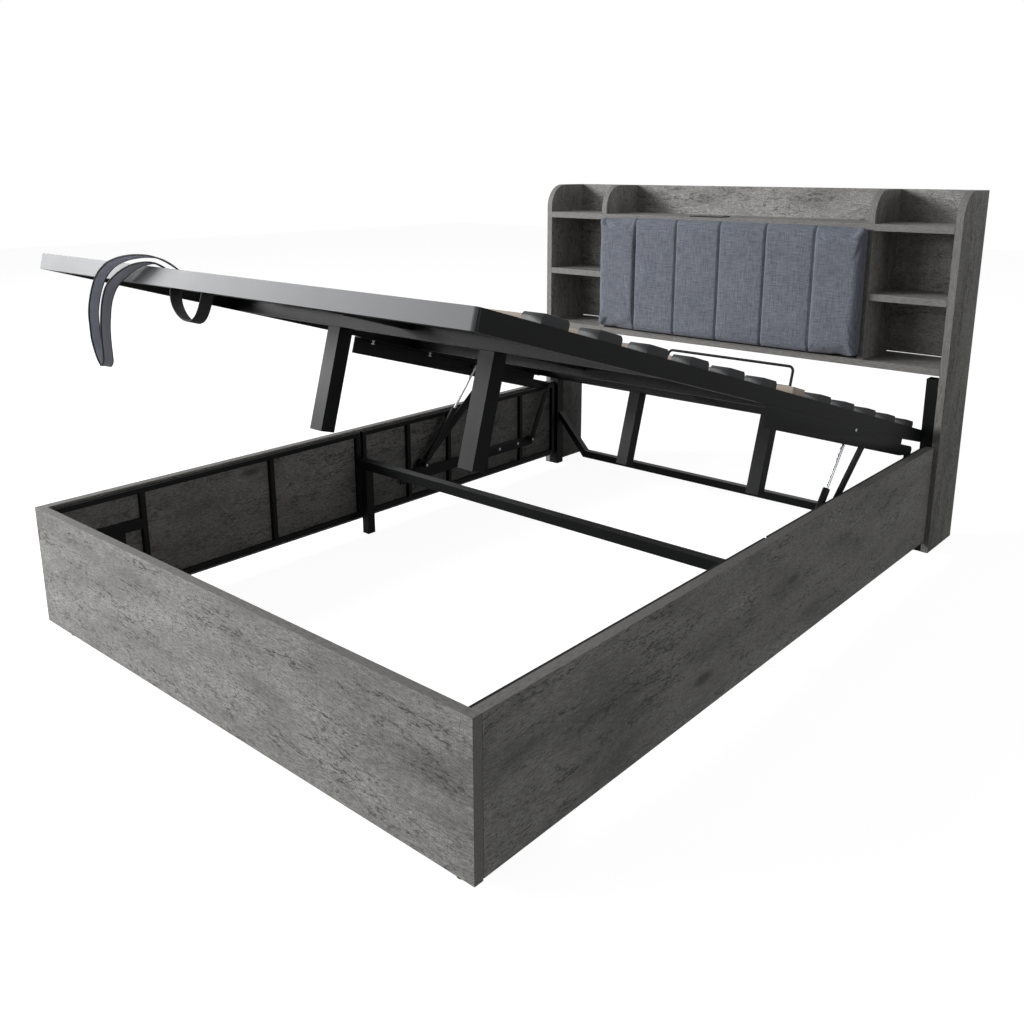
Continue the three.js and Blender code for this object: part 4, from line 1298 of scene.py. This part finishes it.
@dataclass
class WireStop:
    """The bent wire that keeps a mattress from sliding, on two flat pads."""

    finishes: Finishes
    wire: float = 3.5 * MM
    left: float = 341 * MM
    right: float = 701 * MM
    height: float = 50 * MM
    bend: float = 12 * MM
    bend_steps: int = 6
    pad_length: float = 30 * MM
    pad_width: float = 22 * MM
    pad: float = 2 * MM
    pad_round: float = 0.6 * MM
    # The slat's top, with 0.3 mm of air over it, and its place along the platform.
    foot: float = 18.6 * MM
    along: float = SLAT_FIRST + STOP_SLAT * SLAT_PITCH

    def build(self) -> None:
        """Builds the stop on the plain slat."""
        corners = []
        for centre, start in ((self.left + self.bend, math.pi), (self.right - self.bend, math.pi / 2)):
            for step in range(self.bend_steps + 1):
                angle = start - step * math.pi / 2 / self.bend_steps
                corners.append((centre + self.bend * math.cos(angle),
                                self.height - self.bend + self.bend * math.sin(angle)))
        route = [(self.left, self.pad / 2), *corners, (self.right, self.pad / 2)]
        curve = bpy.data.curves.new("stop_wire", "CURVE")
        curve.dimensions = "3D"
        curve.bevel_depth = self.wire
        curve.bevel_resolution = 4
        curve.use_fill_caps = True
        line = curve.splines.new("POLY")
        line.points.add(len(route) - 1)
        for point, (x, z) in zip(line.points, route):
            point.co = (x, self.along, self.foot + z, 1)
        wire = applied_curve("stop_wire", curve)
        half, top = self.pad_width / 2, self.foot + self.pad
        pads = [rounded_box("pad", (low, self.along - half, self.foot), (high, self.along + half, top),
                            self.pad_round)
                for low, high in ((self.left - self.wire, self.left + self.pad_length),
                                  (self.right - self.pad_length, self.right + self.wire))]
        piece = joined("mattress_stop_wire", [wire, *pads], deck_matrix(), self.finishes.coat)
        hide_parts("mattress_stop")
        dress(piece, "platform")


def applied_curve(name: str, curve: bpy.types.Curve) -> Piece:
    """Turns a curve into a plain mesh piece.

    Args:
        name: the piece's name.
        curve: the curve.

    Returns:
        The new piece.
    """
    holder = bpy.data.objects.new(name, curve)
    bpy.context.scene.collection.objects.link(holder)
    bpy.context.view_layer.update()
    graph = bpy.context.evaluated_depsgraph_get()
    mesh = bpy.data.meshes.new_from_object(holder.evaluated_get(graph))
    bpy.data.objects.remove(holder)
    return new_object(name, tidy(mesh))


@dataclass
class Strap:
    """A strap of webbing swept along a path, with a UV map in metres along it."""

    finishes: Finishes
    width: float = 28 * MM
    thick: float = 3 * MM
    # The corners of its section, as shares of width and thickness.
    section: tuple[tuple[float, float], ...] = (
        (-0.5, -0.35), (-0.47, -0.5), (0.47, -0.5), (0.5, -0.35), (0.5, 0.35), (0.47, 0.5), (0.0, 0.58),
        (-0.47, 0.5), (-0.5, 0.35))
    length: float = field(init=False, default=0.0)

    def ribbon(self, name: str, points: Sequence[Vector], sides: Sequence[Vector],
               finish: Material) -> Piece:
        """Sweeps the strap's section along its path and measures its length.

        Args:
            name: the piece's name.
            points: its centre line, on the platform's own axes.
            sides: the unit direction of its width at each point.
            finish: its material.

        Returns:
            The strap, in the row frame.
        """
        count, last = len(self.section), len(points) - 1
        corners, lengths = [], [0.0]
        for i, point in enumerate(points):
            tangent = (points[min(i + 1, last)] - points[max(i - 1, 0)]).normalized()
            up = tangent.cross(sides[i]).normalized()
            corners += [tuple(point + sides[i] * (u * self.width) + up * (v * self.thick))
                        for u, v in self.section]
            if i:
                lengths.append(lengths[-1] + (point - points[i - 1]).length)
        faces = [(a + k, a + (k + 1) % count, a + (k + 1) % count + count, a + k + count)
                 for a in range(0, last * count, count) for k in range(count)]
        faces.append(tuple(range(count - 1, -1, -1)))
        faces.append(tuple(range(last * count, (last + 1) * count)))
        mesh = bpy.data.meshes.new(name)
        mesh.from_pydata(corners, [], faces)
        layer = mesh.uv_layers.new(name=STRAP_MAP)
        for loop, spot in zip(mesh.loops, layer.data):
            index = loop.vertex_index
            spot.uv = (self.section[index % count][0] + 0.5, lengths[index // count])
        mesh.transform(deck_matrix())
        shade(tidy(mesh), STRAP_CREASE)
        self.length = lengths[-1]
        return new_object(name, mesh, finish)


@dataclass
class PullStrap(Strap):
    """The long grey strap that hangs over the foot rim in a loop."""

    start_x: float = -146 * MM
    reach: float = 272 * MM
    out: float = 34 * MM
    drop: float = 232 * MM
    steps: int = 260
    # Shares of reach across, reach out and drop, then the heading of its width in degrees.
    shares: tuple[tuple[float, float, float, float], ...] = (
        (0, -0.59, -0.0079, 142), (0.053, -0.06, -0.052, 131), (0.139, 0.38, -0.078, 116),
        (0.245, 0.71, -0.073, 106), (0.363, 0.91, -0.052, 98), (0.511, 1, -0.0125, 96),
        (0.668, 0.97, 0.052, 99), (0.805, 0.85, 0.164, 104), (0.908, 0.59, 0.31, 106),
        (0.982, 0.24, 0.496, 106), (1, -0.136, 0.668, 106), (0.996, -0.35, 0.776, 106),
        (0.963, -0.58, 0.888, 106), (0.926, -0.71, 0.957, 106), (0.88, -0.8, 1, 106),
        (0.838, -0.74, 0.96, 106), (0.824, -0.58, 0.888, 106), (0.824, -0.35, 0.776, 106),
        (0.82, -0.136, 0.668, 106), (0.802, 0.09, 0.551, 106), (0.75, 0.41, 0.385, 106),
        (0.655, 0.65, 0.235, 96), (0.508, 0.74, 0.12, 91), (0.375, 0.62, 0.03, 103),
        (0.279, 0.32, -0.0165, 120), (0.228, -0.06, -0.0305, 145), (0.199, -0.59, -0.0079, 156))

    def build(self) -> None:
        """Builds the strap."""
        knots = [(Vector((self.start_x - a * self.reach, -o * self.out, -d * self.drop)), t)
                 for a, o, d, t in self.shares]
        points, headings = [], []
        for i in range(self.steps + 1):
            place = i / self.steps * (len(knots) - 1)
            low = min(int(place), len(knots) - 2)
            share = place - low
            around = [knots[min(max(low + k, 0), len(knots) - 1)][0] for k in (-1, 0, 1, 2)]
            points.append(self.smooth(around, share))
            headings.append(math.radians(knots[low][1] + (knots[low + 1][1] - knots[low][1]) * share))
        sides = []
        for i, heading in enumerate(headings):
            tangent = (points[min(i + 1, self.steps)] - points[max(i - 1, 0)]).normalized()
            level = Vector((math.cos(heading), math.sin(heading), 0))
            sides.append((level - tangent * level.dot(tangent)).normalized())
        strap = self.ribbon("pull_strap_webbing", points, sides, self.finishes.webbing)
        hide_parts("pull_strap")
        dress(strap, "platform")

    def smooth(self, around: list[Vector], share: float) -> Vector:
        """Finds a point of a Catmull-Rom curve between the middle two of four knots.

        Args:
            around: the four knots.
            share: how far the point lies from the second knot to the third.

        Returns:
            The point.
        """
        a, b, c, d = around
        t, tt, ttt = share, share ** 2, share ** 3
        return 0.5 * (2 * b + (c - a) * t + (2 * a - 5 * b + 4 * c - d) * tt
                      + (3 * b - a - 3 * c + d) * ttt)


@dataclass
class PullLoop(Strap):
    """The small black loop under the foot rim."""

    thick: float = 2.5 * MM
    centre: float = -75 * MM
    half_span: float = 58 * MM
    drop: float = 62 * MM
    skew: float = 22 * MM
    along: float = 16 * MM
    top: float = -38.8 * MM
    steps: int = 96

    def build(self) -> None:
        """Builds the loop."""
        points = []
        for i in range(self.steps + 1):
            angle = math.pi * i / self.steps
            x = self.centre - self.half_span * math.cos(angle) + self.skew * math.sin(angle) ** 2
            points.append(Vector((x, self.along, self.top - self.drop * math.sin(angle))))
        sides = [Vector((0, 1, 0))] * len(points)
        loop = self.ribbon("pull_loop_webbing", points, sides, self.finishes.black_webbing)
        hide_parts("pull_loop")
        dress(loop, "platform")


@dataclass
class SmallParts:
    """The charging station in the shelf and the glides under the foot panel."""

    finishes: Finishes
    station_edge: float = 0.6 * MM
    glide_edge: float = 1.0 * MM

    def build(self) -> None:
        """Builds the small moulded parts."""
        station = rounded_copy("charging_station_insert", "charging_station", self.finishes.gloss,
                               self.station_edge)
        dress(station, "base")
        for node in nodes_of("foot_glide"):
            glide = rounded_copy(f"{node}_plug", node, self.finishes.plastic, self.glide_edge)
            dress(glide, "base")


# Camera, floor and light


@dataclass(frozen=True)
class Softbox:
    """A soft lamp: where it stands, what it faces, its width and height and its watts."""

    place: tuple[float, float, float]
    target: tuple[float, float, float]
    size: tuple[float, float]
    power: float


@dataclass
class Stage:
    """A plain pale floor, soft studio light and the camera of the picture."""

    # Degrees, metres and picture points, as solved from the picture.
    azimuth: float = 40.801
    elevation: float = 14.496
    roll: float = 0.063
    eye: tuple[float, float, float] = (1.769573, -1.030313 - HALF_LENGTH, 1.205071)
    focal: float = 998.353
    centre: tuple[float, float] = (520.618, 424.490)
    picture: float = 1024.0
    lamps: dict[str, Softbox] = field(default_factory=lambda: {
        "low_softbox": Softbox((-3.7, -4.6, 2.2), (0.1, -0.5, 0.5), (4.4, 1.3), 142.0),
        "key_softbox": Softbox((-5.6, -3.9, 3.0), (0.0, -0.2, 0.4), (2.6, 2.2), 510.0),
        "side_softbox": Softbox((6.5, -0.2, 1.1), (0.5, 0.0, 0.5), (3.0, 1.6), 46.0),
        "top_softbox": Softbox((-0.6, -0.6, 4.6), (0.0, 0.1, 0.4), (4.0, 4.0), 12.0)})
    sky: float = 0.09
    # The floor: half its side, its depth under the bed, its paint, its glow and the share of
    # the glow that shows in gloss.
    reach: float = 14.0
    under: float = 0.5 * MM
    paint: str = "#9c9c9d"
    glow: float = 0.94
    glow_in_gloss: float = 0.2

    def build(self) -> None:
        """Builds the stage."""
        self.camera()
        self.floor()
        for name, lamp in self.lamps.items():
            self.light(name, lamp)
        self.world()
        bpy.context.scene.view_settings.view_transform = "Standard"

    def camera(self) -> None:
        """Places the camera where the picture was taken from."""
        a, e, r = (math.radians(v) for v in (self.azimuth, self.elevation, self.roll))
        back = Vector((math.sin(a) * math.cos(e), -math.cos(a) * math.cos(e), math.sin(e)))
        right = (-back).cross(Vector((0, 0, 1))).normalized()
        up = right.cross(-back)
        right, up = right * math.cos(r) + up * math.sin(r), up * math.cos(r) - right * math.sin(r)
        data = bpy.data.cameras.new("camera")
        data.sensor_width = 36.0
        data.lens = self.focal / self.picture * data.sensor_width
        data.shift_x = (self.picture / 2 - self.centre[0]) / self.picture
        data.shift_y = (self.centre[1] - self.picture / 2) / self.picture
        data.clip_end = 100.0
        camera = bpy.data.objects.new("camera", data)
        camera.matrix_world = Matrix.Translation(self.eye) @ Matrix((right, up, back)).transposed().to_4x4()
        bpy.context.scene.collection.objects.link(camera)
        bpy.context.scene.camera = camera

    def light(self, name: str, lamp: Softbox) -> None:
        """Adds a soft lamp.

        Args:
            name: the lamp's name.
            lamp: its place, target, size and power.
        """
        data = bpy.data.lights.new(name, "AREA")
        data.shape = "RECTANGLE"
        data.size, data.size_y = lamp.size
        data.energy = lamp.power
        piece = bpy.data.objects.new(name, data)
        piece.location = lamp.place
        towards = Vector(lamp.target) - Vector(lamp.place)
        piece.rotation_euler = towards.to_track_quat("-Z", "Y").to_euler()
        bpy.context.scene.collection.objects.link(piece)

    def background_share(self, tree: Tree, in_gloss: float = 1.0) -> Socket:
        """Makes the share of the white background that a ray sees.

        Args:
            tree: the tree that takes the nodes.
            in_gloss: the share that shows in gloss.

        Returns:
            A socket that is 1 for rays seen straight or through glass.
        """
        path = add_node(tree, "ShaderNodeLightPath").outputs
        seen = add_node(tree, "ShaderNodeMath", {0: path["Is Glossy Ray"], 1: in_gloss},
                        operation="MULTIPLY").outputs[0]
        for ray in ("Is Camera Ray", "Is Transmission Ray"):
            seen = add_node(tree, "ShaderNodeMath", {0: path[ray], 1: seen}, operation="MAXIMUM").outputs[0]
        return seen

    def floor(self) -> None:
        """Adds the floor: white to the eye, with the object's shadow on it."""
        corners = [(-1, -1), (1, -1), (1, 1), (-1, 1)]
        mesh = mesh_from("floor", [(x * self.reach, y * self.reach, -self.under) for x, y in corners],
                         [(0, 1, 2, 3)])
        material = bpy.data.materials.new("pale_floor")
        material.use_nodes = True
        tree = material.node_tree
        tree.nodes.clear()
        paint = add_node(tree, "ShaderNodeBsdfDiffuse", {"Color": linear(self.paint)}).outputs[0]
        glow = add_node(tree, "ShaderNodeEmission", {"Color": (1, 1, 1, 1), "Strength": self.glow})
        both = add_node(tree, "ShaderNodeAddShader", {0: paint, 1: glow.outputs[0]}).outputs[0]
        shown = add_node(tree, "ShaderNodeMixShader", {0: self.background_share(tree, self.glow_in_gloss),
                                                       1: paint, 2: both})
        add_node(tree, "ShaderNodeOutputMaterial", {"Surface": shown.outputs[0]})
        new_object("floor", mesh, material)

    def world(self) -> None:
        """Adds the sky: white to the eye, dimmer as a light."""
        world = bpy.data.worlds.new("studio")
        bpy.context.scene.world = world
        world.use_nodes = True
        tree = world.node_tree
        tree.nodes.clear()
        dim, white = (add_node(tree, "ShaderNodeBackground", {"Color": (1, 1, 1, 1), "Strength": strength})
                      for strength in (self.sky, 1.0))
        shown = add_node(tree, "ShaderNodeMixShader", {0: self.background_share(tree), 1: dim.outputs[0],
                                                       2: white.outputs[0]})
        add_node(tree, "ShaderNodeOutputWorld", {"Surface": shown.outputs[0]})


def main() -> None:
    """Builds the bed's looks in order."""
    logging.basicConfig(level=logging.INFO, format="%(name)s %(message)s")
    finishes = Finishes()
    rows = RowTree()
    assemblies = [Boards(finishes), Steelwork(finishes), SlattedDeck(finishes, rows),
                  Fasteners(finishes, rows), WireStop(finishes), PullStrap(finishes), PullLoop(finishes),
                  SmallParts(finishes), Cushion(finishes), Stage()]
    for assembly in assemblies:
        assembly.build()
        LOG.info("built %s", type(assembly).__name__)


if __name__ == "__main__":
    main()
